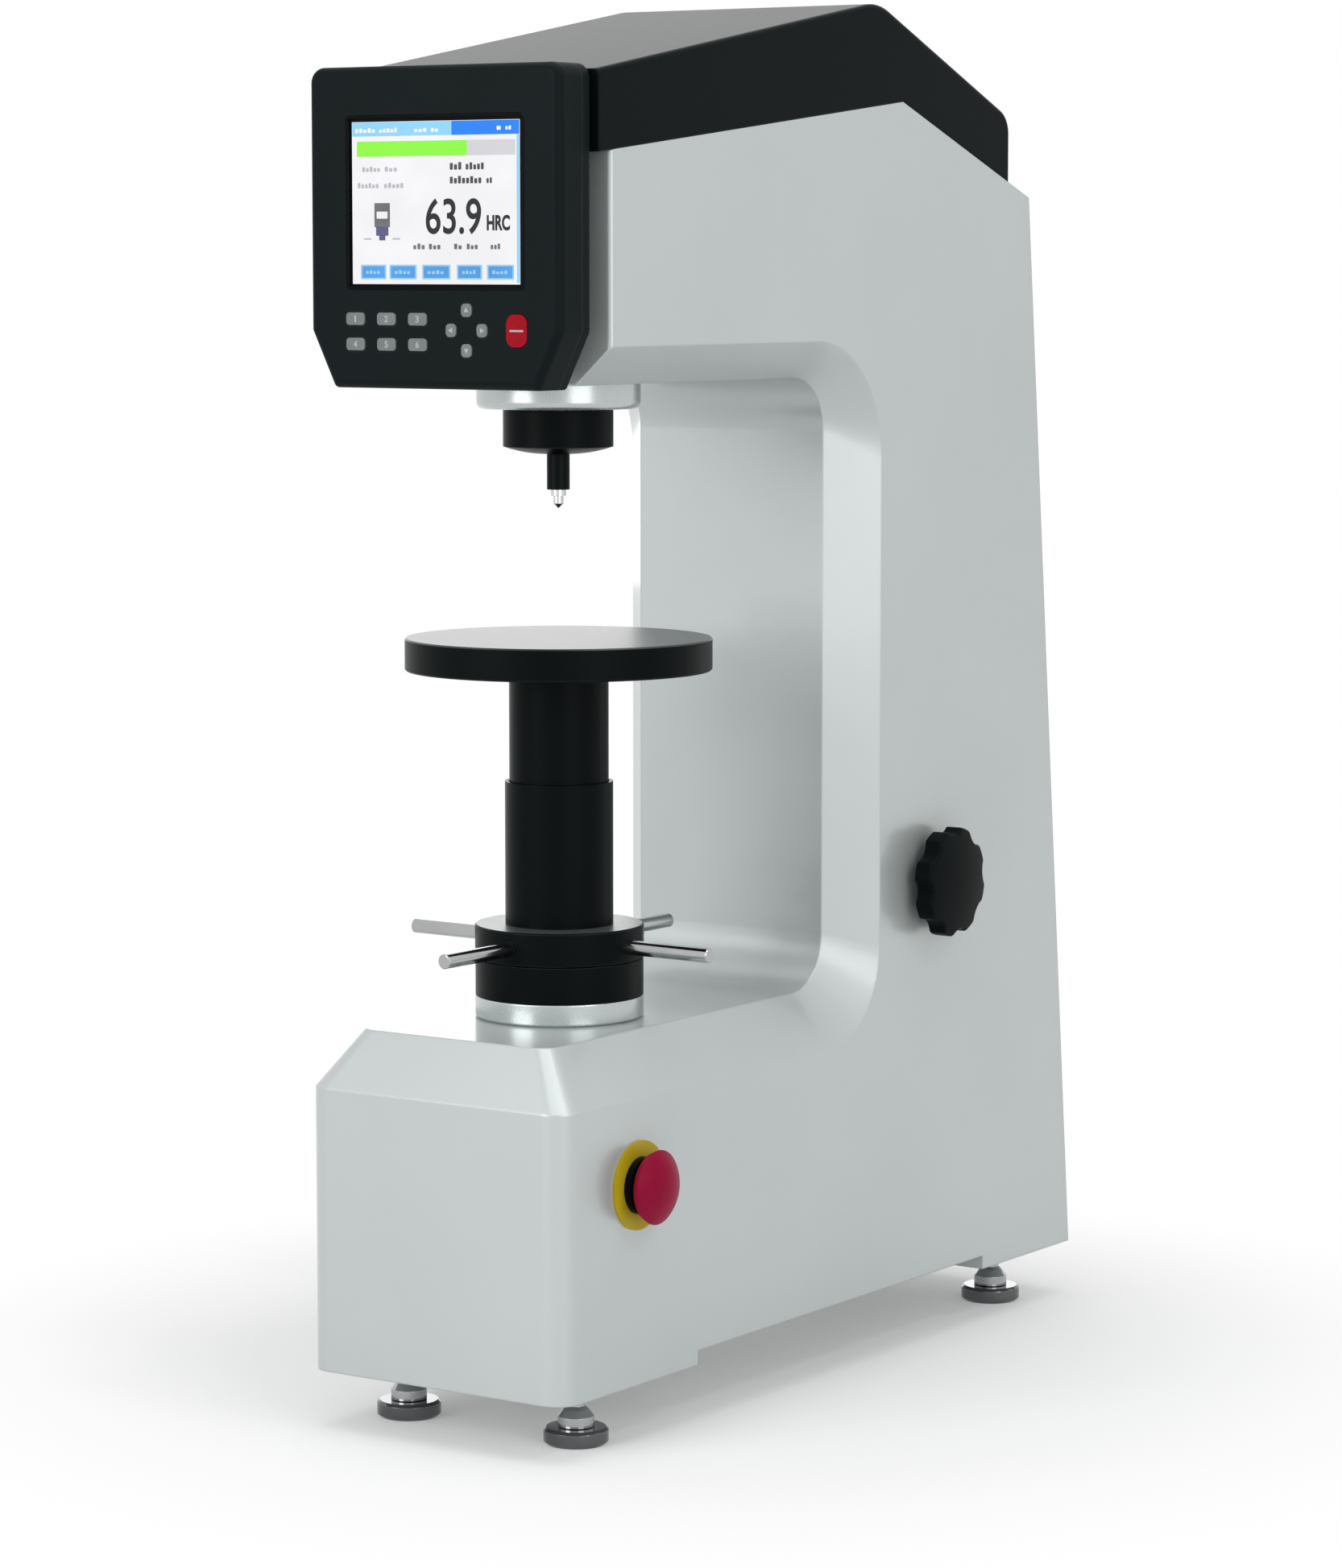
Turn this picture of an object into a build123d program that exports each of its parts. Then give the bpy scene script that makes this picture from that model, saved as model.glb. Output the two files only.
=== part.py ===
from build123d import *
import math
import os

# Bench hardness tester: a C-shaped housing on four levelling feet, a screw-lifted test
# table in its throat, a spindle with a diamond indenter above it, a sloping hood, and a
# console with a screen and keys on the head. All sizes are in millimetres.
# Heights are measured from the bench, depths from the front face of the base, and
# widths from the middle of the housing.

# Housing: overall form
body_width = 170.0
half_width = body_width / 2
body_depth = 530.7
body_bottom = 31.7
wall = 5.0
floor_thickness = 13.3
floor_top = body_bottom + floor_thickness
bevel_width = 23.0
base_top = 217.2
base_bevel_height = 31.3
bevel_foot = base_top - base_bevel_height
base_nose = 17.5
base_corner_radius = 14.0
deck_corner_radius = 10.0
column_front = 284.3
column_bevel_depth = 25.6
column_bevel_front = column_front + column_bevel_depth
head_bottom = 561.7
head_bevel_height = 20.6
head_bevel_top = head_bottom + head_bevel_height
throat_radius = 30.0
lower_bevel_radius = 52.0
upper_bevel_radius = 66.0
throat_wall = 7.0
head_front = 44.6
head_corner_radius = 3.0
head_front_height = 121.5
roof_front = head_bottom + head_front_height
roof_peak_depth = 331.0
roof_rise = 31.8
roof_peak = roof_front + roof_rise
rear_run = 58.0
roof_back_depth = body_depth - rear_run
roof_fall = 52.0
roof_back = roof_peak - roof_fall
notch_front = 125.0
notch_rear_margin = 102.7
notch_back = body_depth - notch_rear_margin
notch_height = 8.0
lintel_height = 13.0
lintel_depth = 8.0
service_margin = 18.0
service_edge = 22.0

# Housing: rear opening and its cover
cover_recess = 2.0
cover_thickness = 3.0
cover_gap = 0.4
flange_width = 12.0
flange_thickness = 5.0
cover_screw_rows = 4
screw_radius = 2.0
screw_head_radius = 3.8
screw_head_height = 2.4
screw_length = 7.0
cover_screw_margin = 24.0

# Bottom plate
plate_thickness = 2.0
plate_lap = 9.0

# Hood
hood_overhang = 11.1
hood_front = head_front - hood_overhang
hood_wall = 3.0
hood_front_rise = 41.0
hood_front_top = roof_front + hood_front_rise
hood_peak_lead = 24.5
hood_peak_depth = roof_peak_depth - hood_peak_lead
hood_peak_rise = 54.5
hood_peak = roof_peak + hood_peak_rise
hood_rear_step = 22.2
hood_back = roof_back_depth - hood_rear_step
hood_back_rise = 46.5
hood_back_top = roof_back + hood_back_rise
hood_peak_radius = 40.0
hood_back_radius = 15.0
hood_edge_radius = 3.0
hood_lip = 8.0

# Test axis and elevating gear
axis_depth = 116.0
running_fit = 0.05
sliding_gap = 0.4
outside = 60.0
table_drop = 58.0
end_gap = 2.0
screw_shaft_radius = 19.0
screw_bottom = body_bottom + notch_height + table_drop + end_gap
keyway_width = 5.0
keyway_depth = 3.0
keyway_runout = 7.0
key_gap = 0.3
guide_wall = 6.0
guide_nut_gap = 6.0
guide_flange_radius = 34.0
guide_flange_height = 6.0
key_length = 24.0
collar_radius = 46.0
collar_height = 12.0
collar_foot = 1.2
bearing_ring_radius = 45.8
bearing_ring_height = 20.0
bearing_ring_wall = 5.6
race_height = 3.5
ball_radius = 2.5
ball_count = 12
hub_seam = 0.8
hub_radius = 46.0
hub_height = 18.0
hub_chamfer = 0.8
hub_sleeve_wall = 4.4
hub_sleeve_depth = 17.2
hub_sleeve_bottom = base_top - hub_sleeve_depth
hub_socket_depth = 3.0
rod_radius = 4.0
rod_reach = 100.8
rod_count = 4
rod_turn = -1.8
rod_seat_radius = 32.0
rod_drop = 9.7
rod_chamfer = 0.5
nut_flange_radius = 42.0
nut_flange_height = 14.0
nut_spigot_height = 12.0
guide_top = hub_sleeve_bottom - nut_flange_height - guide_nut_gap
keyway_top = guide_top + table_drop + keyway_runout
boss_gap = 0.5
boss_radius = 50.0
lower_sleeve_radius = 29.4
lower_sleeve_wall = 1.95
upper_sleeve_show = 60.4
upper_sleeve_radius = 27.0
upper_sleeve_wall = 2.5
upper_sleeve_bottom = hub_sleeve_bottom + nut_spigot_height + table_drop + end_gap

# Test table
table_top = 423.9
table_radius = 83.3
table_thickness = 17.6
table_bottom = table_top - table_thickness
lower_sleeve_top = table_bottom - upper_sleeve_show
table_chamfer = 0.8
table_boss_height = 8.3
table_spigot_radius = 12.5
table_spigot_length = 17.0
locating_gap = 0.05

# Spindle, nose and indenter
head_boss_radius = 44.5
head_boss_height = 14.3
head_boss_round = 4.0
nose_radius = 29.8
nose_side_height = 20.4
nose_crown = 4.0
nose_crown_share = 0.75
spindle_radius = 6.2
spindle_drop = 57.9
spindle_bottom = head_bottom - spindle_drop
spindle_collar_radius = 14.0
spindle_collar_height = 4.0
bush_radius = 12.0
bush_drop = 29.7
bush_bottom = head_bottom - bush_drop
bush_rise = 34.3
bush_top = head_bottom + bush_rise
bush_flange_radius = 18.0
bush_flange_height = 4.0
indenter_length = 10.0
indenter_tip = spindle_bottom - indenter_length
indenter_shoulder_radius = 4.1
indenter_shoulder_height = 3.4
indenter_body_radius = 2.75
indenter_body_height = 4.2
indenter_flat_radius = 0.3
indenter_shank_radius = 3.0
indenter_shank_length = 12.0

# Spring, fulcrum bracket, lever and drive
spring_length = 32.0
spring_wire_radius = 1.0
spring_coil_radius = 9.5
spring_turns = 6
spring_wire_sides = 6
seat_thickness = 4.0
cheek_spacing = 52.0
cheek_thickness = 5.0
cheek_height = 100.0
fulcrum_lead = 38.0
fulcrum_depth = axis_depth - fulcrum_lead
fulcrum_rise = 100.3
fulcrum_height = head_bottom + fulcrum_rise
cheek_margin = 16.0
cheek_front = fulcrum_depth - cheek_margin
cheek_tail = 34.0
cheek_back = axis_depth + cheek_tail
trunnion_radius = 4.0
trunnion_boss_radius = 10.0
lever_width = 16.0
lever_drop = 7.0
lever_bottom = fulcrum_height - lever_drop
spindle_lever_gap = 10.0
spindle_top = lever_bottom - spindle_lever_gap
lever_front_height = 20.0
lever_flat_length = 20.0
lever_back_height = 11.0
lever_tail = 20.0
lever_nose_drop = 4.0
lever_nose_radius = 6.0
hanger_pin_radius = 3.0
hanger_pin_gap = 0.6
clevis_gap = 1.0
clevis_thickness = 4.0
clevis_width = 18.0
clevis_drop = 20.0
clevis_bridge_height = 6.0
hanger_rod_radius = 6.0
hanger_foot_height = 5.0
hanger_foot_radius = 20.0
weight_radius = 48.0
weight_height = 32.0
weight_gap = 0.5
weight_count = 3
weight_lift_gap = 15.5
cam_lead = 60.0
cam_high_radius = 22.0
cam_low_radius = 12.0
cam_gap = 0.8
cam_width = 12.0
cam_points = 24
cam_shaft_radius = 5.0
motor_radius = 26.0
motor_length = 50.0
motor_shaft_gap = 4.0
sensor_width = 14.0
sensor_depth = 26.0
sensor_height = 44.0
sensor_lift = 30.0
sensor_corner_radius = 2.8

# Console
console_side_step = 4.0
console_half_width = half_width - console_side_step
console_overhang = 40.4
console_front = head_front - console_overhang
console_shell_depth = 19.8
console_split = console_front + console_shell_depth
console_back_depth = 6.5
console_back_face = console_split + console_back_depth
console_drop = 1.7
console_bottom = head_bottom - console_drop
console_height = 167.0
console_top = console_bottom + console_height
console_middle = (console_bottom + console_top) / 2
console_top_radius = 8.0
console_chamfer_width = 15.0
console_chamfer_height = 30.0
console_corner_radius = 2.5
console_edge_radius = 4.5
console_wall = 2.5
screen_middle = 1.3
screen_half_width = 56.1
screen_lift = 53.0
screen_bottom = console_bottom + screen_lift
screen_height = 87.0
screen_recess = 1.2
screen_frame = 4.0
screen_module_depth = 9.0
neck_half_width = 34.0
neck_height = 70.0
neck_lift = 48.0
post_radius = 3.0
key_proud = 0.8
key_gap_side = 0.3
key_flange_gap = 0.2
key_flange = 1.0
key_flange_thickness = 1.2
key_stem_radius = 1.5
key_stem_length = 2.9
key_board_gap = 1.0
key_board_thickness = 1.6
key_board_half_height = 17.0
function_key_size = (12.0, 6.6)
function_key_inset = 6.1
function_key_start = function_key_inset - screen_half_width
function_key_pitch = 20.3
function_key_columns = 3
function_key_lifts = (36.2, 23.0)
function_key_radius = 2.0
arrow_key_size = (6.6, 7.0)
arrow_key_radius = 2.4
arrow_middle = 22.2
arrow_key_lift = 30.6
arrow_height = console_bottom + arrow_key_lift
arrow_spread = (9.9, 10.4)
red_key_size = (13.0, 17.0)
red_key_radius = 5.2
red_key_inset = 1.9
red_key_middle = screen_half_width - red_key_inset

# Emergency stop on the right side of the base
stop_depth = 68.3
stop_height = 139.8
stop_ring_radius = 23.9
stop_ring_thickness = 1.5
stop_hole_radius = 11.2
stop_barrel_radius = 11.0
stop_collar_radius = 15.5
stop_collar_height = 3.6
stop_block_half = 14.0
stop_block_length = 34.0
stop_nut_radius = 16.0
stop_nut_height = 4.0
stop_plunger_radius = 9.0
stop_stem_radius = 5.0
stop_travel = 4.0
stop_cap_radius = 19.9
stop_cap_back = 9.4
stop_cap_rim = 3.2
stop_crown = 20.4
stop_stem_overlap = 5.0

# Load selector on the right side of the column
selector_lead = 25.2
selector_height = 271.0
knob_radius = 31.5
knob_lobes = 8
knob_scallop_start = 95.5
knob_scallop_radius = 9.0
knob_scallop_bite = 3.6
knob_back = 8.0
knob_front = 17.4
knob_crown = 21.2
knob_hub_radius = 13.0
knob_edge_round = 2.0
knob_panel_gap = 0.4
knob_bore_depth = 12.0
selector_shaft_radius = 5.0
selector_boss_radius = 12.0
selector_boss_length = 8.0
selector_shaft_inner = -16.0
selector_cam_radius = 14.0
selector_cam_offset = 5.5
selector_cam_width = 24.0

# Feet
foot_side_inset = 29.2
foot_offset = half_width - foot_side_inset
foot_front = 51.9
foot_rear_inset = 43.9
foot_back = body_depth - foot_rear_inset
pad_radius = 17.5
pad_height = 9.0
pad_edge = 1.5
pad_socket_radius = 5.0
pad_socket_depth = 5.0
foot_dome_radius = 9.8
foot_dome_height = 11.0
foot_dome_side_height = 5.5
foot_dome_slope_height = 9.2
foot_dome_neck_radius = 7.0
foot_dome_gap = 0.3
stud_radius = 5.0
stud_end = 11.0
stud_hole_gap = 0.2
jam_nut_width = 17.0
jam_nut_height = 6.0
jam_nut_sides = 6
stud_top = floor_top + jam_nut_height + stud_end

# Rear power inlet with its rocker switch, and the power supply
inlet_side_inset = 47.0
inlet_offset = half_width - inlet_side_inset
inlet_height = 62.0
inlet_flange = (31.0, 52.0)
inlet_flange_thickness = 2.6
inlet_body = (27.4, 47.4)
inlet_body_depth = 26.0
inlet_socket = (20.0, 14.0)
inlet_socket_depth = 16.0
inlet_socket_drop = 12.0
inlet_pin = (2.0, 6.3)
inlet_pin_spacing = 6.0
inlet_pin_length = 12.0
earth_pin_rise = 1.0
rocker_width = 13.0
rocker_radius = 10.5
rocker_lift = 10.0
rocker_gap = 0.5
rocker_pin_radius = 1.5
rocker_pin_length = 1.6
rocker_pivot_depth = 4.0
rocker_valley_depth = 0.9
rocker_valley_angle = 3.8
rocker_tilt = 11.4
supply_inset = 80.0
supply_front = notch_front + supply_inset
supply_size = (84.0, 80.0, 44.0)
supply_corner_radius = 5.0

# Place of the origin: on the bench, in the middle of the whole tester
rod_side_reach = rod_reach * math.cos(math.radians(rod_turn)) + (rod_radius - rod_chamfer) * abs(
    math.sin(math.radians(rod_turn))
)
right_reach = half_width + max(knob_crown, stop_crown)
mid_x = (rod_side_reach - right_reach) / 2
front_y = -body_depth / 2


# Planes that the pieces are drawn on
def level(height):
    """Horizontal plane, drawn as (width, depth)."""
    return Plane(origin=(mid_x, front_y, height))


def side(width):
    """Upright plane facing right, drawn as (depth, height)."""
    return Plane(origin=(mid_x + width, front_y, 0), x_dir=(0, 1, 0), z_dir=(1, 0, 0))


def facing(depth):
    """Upright plane facing the front, drawn as (width, height)."""
    return Plane(origin=(mid_x, front_y + depth, 0), x_dir=(1, 0, 0), z_dir=(0, -1, 0))


def upright_section(centre=(0, axis_depth)):
    """Section plane through an upright axis, drawn as (radius, height)."""
    return Plane(
        origin=(mid_x + centre[0], front_y + centre[1], 0), x_dir=(1, 0, 0), z_dir=(0, -1, 0)
    )


def cross_section_plane(depth, height):
    """Section plane through a left-to-right axis, drawn as (distance out of the side, radius)."""
    return Plane(
        origin=(mid_x + half_width, front_y + depth, height), x_dir=(1, 0, 0), z_dir=(0, 0, 1)
    )


# The rear face leans forward as it rises
rear_lean = math.atan2(body_depth - roof_back_depth, roof_back - body_bottom)
rear_rise = math.hypot(body_depth - roof_back_depth, roof_back - body_bottom)


def rear_plane(inset=0.0):
    """Leaning plane of the rear face, seen from behind, drawn as (left, up)."""
    plane = Plane(
        origin=(mid_x, front_y + body_depth, body_bottom),
        x_dir=(-1, 0, 0),
        z_dir=(0, math.cos(rear_lean), math.sin(rear_lean)),
    )
    return plane.offset(-inset)


# Solids that many pieces share
def upright(bottom, top, radius, bore=0.0, centre=(0, axis_depth), mode=Mode.ADD):
    """Upright cylinder or ring."""
    with BuildSketch(level(bottom)) as outline:
        with Locations(centre):
            Circle(radius)
            if bore:
                Circle(bore, mode=Mode.SUBTRACT)
    extrude(outline.sketch, amount=top - bottom, mode=mode)


def crosswise(inner, outer, radius, depth, height, bore=0.0, mode=Mode.ADD):
    """Left-to-right cylinder or ring, from one width to another."""
    with BuildSketch(side(inner)) as outline:
        with Locations((depth, height)):
            Circle(radius)
            if bore:
                Circle(bore, mode=Mode.SUBTRACT)
    extrude(outline.sketch, amount=outer - inner, mode=mode)


def block(widths, depths, heights, mode=Mode.ADD):
    """Box between two widths, two depths and two heights."""
    with BuildSketch(level(heights[0])) as outline:
        with Locations(((widths[0] + widths[1]) / 2, (depths[0] + depths[1]) / 2)):
            Rectangle(widths[1] - widths[0], depths[1] - depths[0])
    extrude(outline.sketch, amount=heights[1] - heights[0], mode=mode)


def side_prism(points, inner, outer, mode=Mode.ADD):
    """Prism of a side outline, given as (depth, height) points."""
    with BuildSketch(side(inner)) as outline:
        with BuildLine():
            Polyline(*points, close=True)
        make_face()
    extrude(outline.sketch, amount=outer - inner, mode=mode)


def turned(points, centre=(0, axis_depth), mode=Mode.ADD):
    """Solid of revolution about an upright axis, from (radius, height) points."""
    with BuildSketch(upright_section(centre)) as outline:
        with BuildLine():
            Polyline(*points, close=True)
        make_face()
    spin = Axis((mid_x + centre[0], front_y + centre[1], 0), (0, 0, 1))
    revolve(outline.sketch, axis=spin, mode=mode)


def crown_arc(base, rim, tip):
    """Arc of a spherical crown, from its rim at (base, rim) to its tip on the axis."""
    rise = tip - base
    ball = (rim**2 + rise**2) / (2 * rise)
    half_angle = math.asin(rim / ball) / 2
    middle = (tip - ball + ball * math.cos(half_angle), ball * math.sin(half_angle))
    return ThreePointArc((base, rim), middle, (tip, 0))


def finish(builder, name):
    """Label a finished piece and write it."""
    builder.part.label = name
    export_step(builder.part, f"parts/{name}.step")


os.makedirs("parts", exist_ok=True)


# Housing outline
def roof_at(depth):
    """Height of the top edge of the side walls at a depth."""
    if depth <= roof_peak_depth:
        slope = (roof_peak - roof_front) / (roof_peak_depth - head_front)
    else:
        slope = (roof_back - roof_peak) / (roof_back_depth - roof_peak_depth)
    return roof_peak + (depth - roof_peak_depth) * slope


def rear_at(height):
    """Depth of the leaning rear face at a height."""
    return body_depth - (height - body_bottom) * math.tan(rear_lean)


bevel_inner = half_width - bevel_width

# Weights in the middle of the column's hollow, above the selector's cam, and what follows them
weight_bottom = (
    selector_height + selector_cam_radius + selector_cam_offset + weight_lift_gap + hanger_foot_height
)
weight_top = weight_bottom + weight_count * (weight_height + weight_gap)
weight_room_front = column_front + throat_wall
weight_room_back = rear_at(weight_top) - (cover_recess + cover_thickness) / math.cos(rear_lean)
hanger_depth = (weight_room_front + weight_room_back) / 2
selector_depth = hanger_depth - selector_lead
cam_depth = hanger_depth - cam_lead
lever_back = hanger_depth + lever_tail


def throat_outline(plane, low, high, back, low_radius, high_radius):
    """Outline of the throat, open to the front, with rounded corners at the column."""
    with BuildSketch(plane) as outline:
        with Locations(((back - outside) / 2, (low + high) / 2)):
            Rectangle(back + outside, high - low)
        corners = outline.vertices().group_by(Axis.X)[-1].sort_by(Axis.Y)
        fillet(corners[0], radius=low_radius)
        corners = outline.vertices().group_by(Axis.Y)[-1].sort_by(Axis.X)
        fillet(corners[-1], radius=high_radius)
    return outline.sketch


def cut_throat(grow):
    """Cut the throat and its flared edges, grown by a wall thickness."""
    narrow = (base_top - grow, head_bottom + grow, column_front + grow)
    wide = (bevel_foot - grow, head_bevel_top + grow, column_bevel_front + grow)
    narrow_radii = (throat_radius + grow, throat_radius + grow)
    wide_radii = (lower_bevel_radius + grow, upper_bevel_radius + grow)
    middle = throat_outline(side(-bevel_inner), *narrow, *narrow_radii)
    extrude(middle, amount=2 * bevel_inner, mode=Mode.SUBTRACT)
    for hand in (-1, 1):
        near = throat_outline(side(hand * bevel_inner), *narrow, *narrow_radii)
        far = throat_outline(side(hand * half_width), *wide, *wide_radii)
        loft([near.face(), far.face()], ruled=True, mode=Mode.SUBTRACT)


def nose_outline(height, half, front, radius):
    """Plan of the front of the base, with rounded front corners."""
    back = head_front + outside
    with BuildSketch(level(height)) as outline:
        with Locations((0, (front + back) / 2)):
            Rectangle(2 * half, back - front)
        fillet(outline.vertices().group_by(Axis.Y)[0], radius=radius)
    return outline.sketch


# Hollow inside of the housing, open at the roof and at the rear
lintel_bottom = roof_back - lintel_height
roof_edge = hood_back - hood_lip
with BuildPart() as hollow:
    inside = [
        (wall, floor_top),
        (wall, bevel_foot - wall),
        (base_nose + wall, base_top),
        (head_front + wall, base_top),
        (head_front + wall, roof_peak + outside),
        (roof_edge, roof_peak + outside),
        (roof_edge, roof_at(roof_edge) - wall),
        (rear_at(lintel_bottom) - lintel_depth, roof_at(rear_at(lintel_bottom) - lintel_depth) - wall),
        (rear_at(lintel_bottom) - lintel_depth, lintel_bottom),
        (body_depth + outside, lintel_bottom),
        (body_depth + outside, floor_top),
    ]
    side_prism(inside, wall - half_width, half_width - wall)
    cut_throat(throat_wall)
    upright_front = hollow.edges().filter_by(Axis.Z).group_by(Axis.Y)[0]
    fillet(upright_front, radius=base_corner_radius - wall)

# Housing
feet = [
    (hand * foot_offset, depth) for depth in (foot_front, foot_back) for hand in (-1, 1)
]
hub_bore_radius = lower_sleeve_radius - lower_sleeve_wall
hub_sleeve_radius = hub_bore_radius + hub_sleeve_wall
service_front = notch_front + service_margin
service_back = notch_back - service_margin
service_half = half_width - service_edge
stud_hole_radius = stud_radius + stud_hole_gap
flange_outer = half_width - wall
cover_inner = cover_recess + cover_thickness
cover_bottom = (floor_top - body_bottom) / math.cos(rear_lean) + cover_inner * math.tan(rear_lean)
cover_top = rear_rise - lintel_height / math.cos(rear_lean)
cover_screw_pitch = (cover_top - cover_bottom - 2 * cover_screw_margin) / (cover_screw_rows - 1)
cover_screw_places = [
    (hand * (flange_outer - flange_width / 2), cover_bottom + cover_screw_margin + row * cover_screw_pitch)
    for hand in (-1, 1)
    for row in range(cover_screw_rows)
]
plate_screw_places = [
    (across * (service_half + plate_lap / 2), depth)
    for across in (-1, 1)
    for depth in (service_front + service_margin, service_back - service_margin)
]
with BuildPart() as housing:
    shape = [
        (head_front, body_bottom),
        (head_front, roof_front),
        (roof_peak_depth, roof_peak),
        (roof_back_depth, roof_back),
        (body_depth, body_bottom),
    ]
    side_prism(shape, -half_width, half_width)
    cut_throat(0.0)
    head_edges = housing.edges().filter_by(Axis.Z).group_by(Axis.Y)[0]
    fillet([edge for edge in head_edges if edge.center().Z > head_bottom], radius=head_corner_radius)
    foot = nose_outline(body_bottom, half_width, 0, base_corner_radius)
    extrude(foot, amount=bevel_foot - body_bottom)
    shoulder = nose_outline(bevel_foot, half_width, 0, base_corner_radius)
    deck = nose_outline(base_top, bevel_inner, base_nose, deck_corner_radius)
    loft([shoulder.face(), deck.face()], ruled=True)
    add(hollow.part, mode=Mode.SUBTRACT)
    # raised middle of the underside and the service opening in it
    plate_top = body_bottom + notch_height
    block((-half_width, half_width), (notch_front, notch_back), (body_bottom, plate_top), Mode.SUBTRACT)
    service_widths = (-service_half, service_half)
    block(service_widths, (service_front, service_back), (body_bottom, floor_top), Mode.SUBTRACT)
    # bosses for the nut, the spindle and the selector shaft
    upright(hub_sleeve_bottom + boss_gap, base_top - throat_wall, boss_radius)
    upright(head_bottom, head_bottom + 2 * throat_wall, bush_flange_radius)
    boss_inner = half_width - wall - selector_boss_length
    crosswise(boss_inner, half_width, selector_boss_radius, selector_depth, selector_height)
    # flanges that the rear cover is screwed to
    for hand in (-1, 1):
        with BuildSketch(rear_plane(cover_inner)) as flange:
            with Locations((hand * (flange_outer - flange_width / 2), (cover_bottom + cover_top) / 2)):
                Rectangle(flange_width, cover_top - cover_bottom)
        extrude(flange.sketch, amount=-flange_thickness)
    # bores
    upright(hub_sleeve_bottom, base_top, hub_sleeve_radius + sliding_gap, mode=Mode.SUBTRACT)
    upright(head_bottom, head_bottom + 2 * throat_wall, bush_radius + locating_gap, mode=Mode.SUBTRACT)
    upright(body_bottom, floor_top, screw_shaft_radius + 2 * sliding_gap, mode=Mode.SUBTRACT)
    crosswise(
        boss_inner,
        half_width,
        selector_shaft_radius + running_fit,
        selector_depth,
        selector_height,
        mode=Mode.SUBTRACT,
    )
    crosswise(bevel_inner, half_width, stop_hole_radius, stop_depth, stop_height, mode=Mode.SUBTRACT)
    for place in feet:
        upright(body_bottom, floor_top, stud_hole_radius, centre=place, mode=Mode.SUBTRACT)
    for place in plate_screw_places:
        upright(body_bottom, floor_top, screw_radius, centre=place, mode=Mode.SUBTRACT)
    for place in cover_screw_places:
        with BuildSketch(rear_plane(cover_inner)) as hole:
            with Locations(place):
                Circle(screw_radius)
        extrude(hole.sketch, amount=-flange_thickness, mode=Mode.SUBTRACT)
finish(housing, "housing")

# Bottom plate, under the service opening
with BuildPart() as bottom_plate:
    block(
        (-service_half - plate_lap, service_half + plate_lap),
        (service_front - plate_lap, service_back + plate_lap),
        (plate_top - plate_thickness, plate_top),
    )
    for place in plate_screw_places:
        upright(body_bottom, plate_top, screw_radius, centre=place, mode=Mode.SUBTRACT)
finish(bottom_plate, "bottom_plate")

# Rear cover with the cut-out for the power inlet
inlet_place = (inlet_offset, inlet_height)
with BuildPart() as rear_cover:
    with BuildSketch(rear_plane(cover_recess)) as panel:
        with Locations((0, (cover_bottom + cover_top) / 2)):
            Rectangle(2 * (flange_outer - cover_gap), cover_top - cover_bottom - 2 * cover_gap)
        with Locations(inlet_place):
            Rectangle(inlet_body[0] + cover_gap, inlet_body[1] + cover_gap, mode=Mode.SUBTRACT)
        with Locations(*cover_screw_places):
            Circle(screw_radius, mode=Mode.SUBTRACT)
    extrude(panel.sketch, amount=-cover_thickness)
finish(rear_cover, "rear_cover")


# Screws of the rear cover and of the bottom plate, one node
def screw(plane, place):
    """Cheese-head screw whose head seats on the plane."""
    with BuildSketch(plane) as head:
        with Locations(place):
            Circle(screw_head_radius)
    extrude(head.sketch, amount=screw_head_height)
    with BuildSketch(plane) as shank:
        with Locations(place):
            Circle(screw_radius)
    extrude(shank.sketch, amount=-screw_length)


with BuildPart() as cover_screws:
    for place in cover_screw_places:
        screw(rear_plane(cover_recess), place)
    under_plate = Plane(
        origin=(mid_x, front_y, plate_top - plate_thickness), x_dir=(1, 0, 0), z_dir=(0, 0, -1)
    )
    for across, depth in plate_screw_places:
        screw(under_plate, (across, -depth))
finish(cover_screws, "cover_screws")


# Hood over the open roof
def hood_outline(inset, front, drop):
    """Side outline of the hood, or of its hollow."""
    return [
        (front, roof_at(front) - drop),
        (front, hood_front_top - inset),
        (hood_peak_depth, hood_peak - inset),
        (hood_back - inset, hood_back_top - inset),
        (hood_back - inset, roof_at(hood_back - inset) - drop),
        (roof_peak_depth, roof_peak - drop),
    ]


def round_hood(builder, peak_radius, back_radius):
    """Round the ridge and the rear shoulder of the hood."""
    across = builder.edges().filter_by(Axis.X).sort_by(Axis.Z)
    fillet(across[-1], radius=peak_radius)
    shoulder_edges = builder.edges().filter_by(Axis.X).group_by(Axis.Y)[-1].sort_by(Axis.Z)
    fillet(shoulder_edges[-1], radius=back_radius)


with BuildPart() as hood_hollow:
    room = half_width - hood_wall
    side_prism(hood_outline(hood_wall, head_front + hood_wall, hood_wall), -room, room)
    round_hood(hood_hollow, hood_peak_radius - hood_wall, hood_back_radius - hood_wall)
with BuildPart() as hood:
    side_prism(hood_outline(0.0, hood_front, 0.0), -half_width, half_width)
    round_hood(hood, hood_peak_radius, hood_back_radius)
    flanks = hood.faces().filter_by(Axis.X)
    rim = [edge for face in flanks for edge in face.edges() if edge.center().Z > roof_peak]
    fillet(rim, radius=hood_edge_radius)
    add(hood_hollow.part, mode=Mode.SUBTRACT)
finish(hood, "hood")

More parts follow.
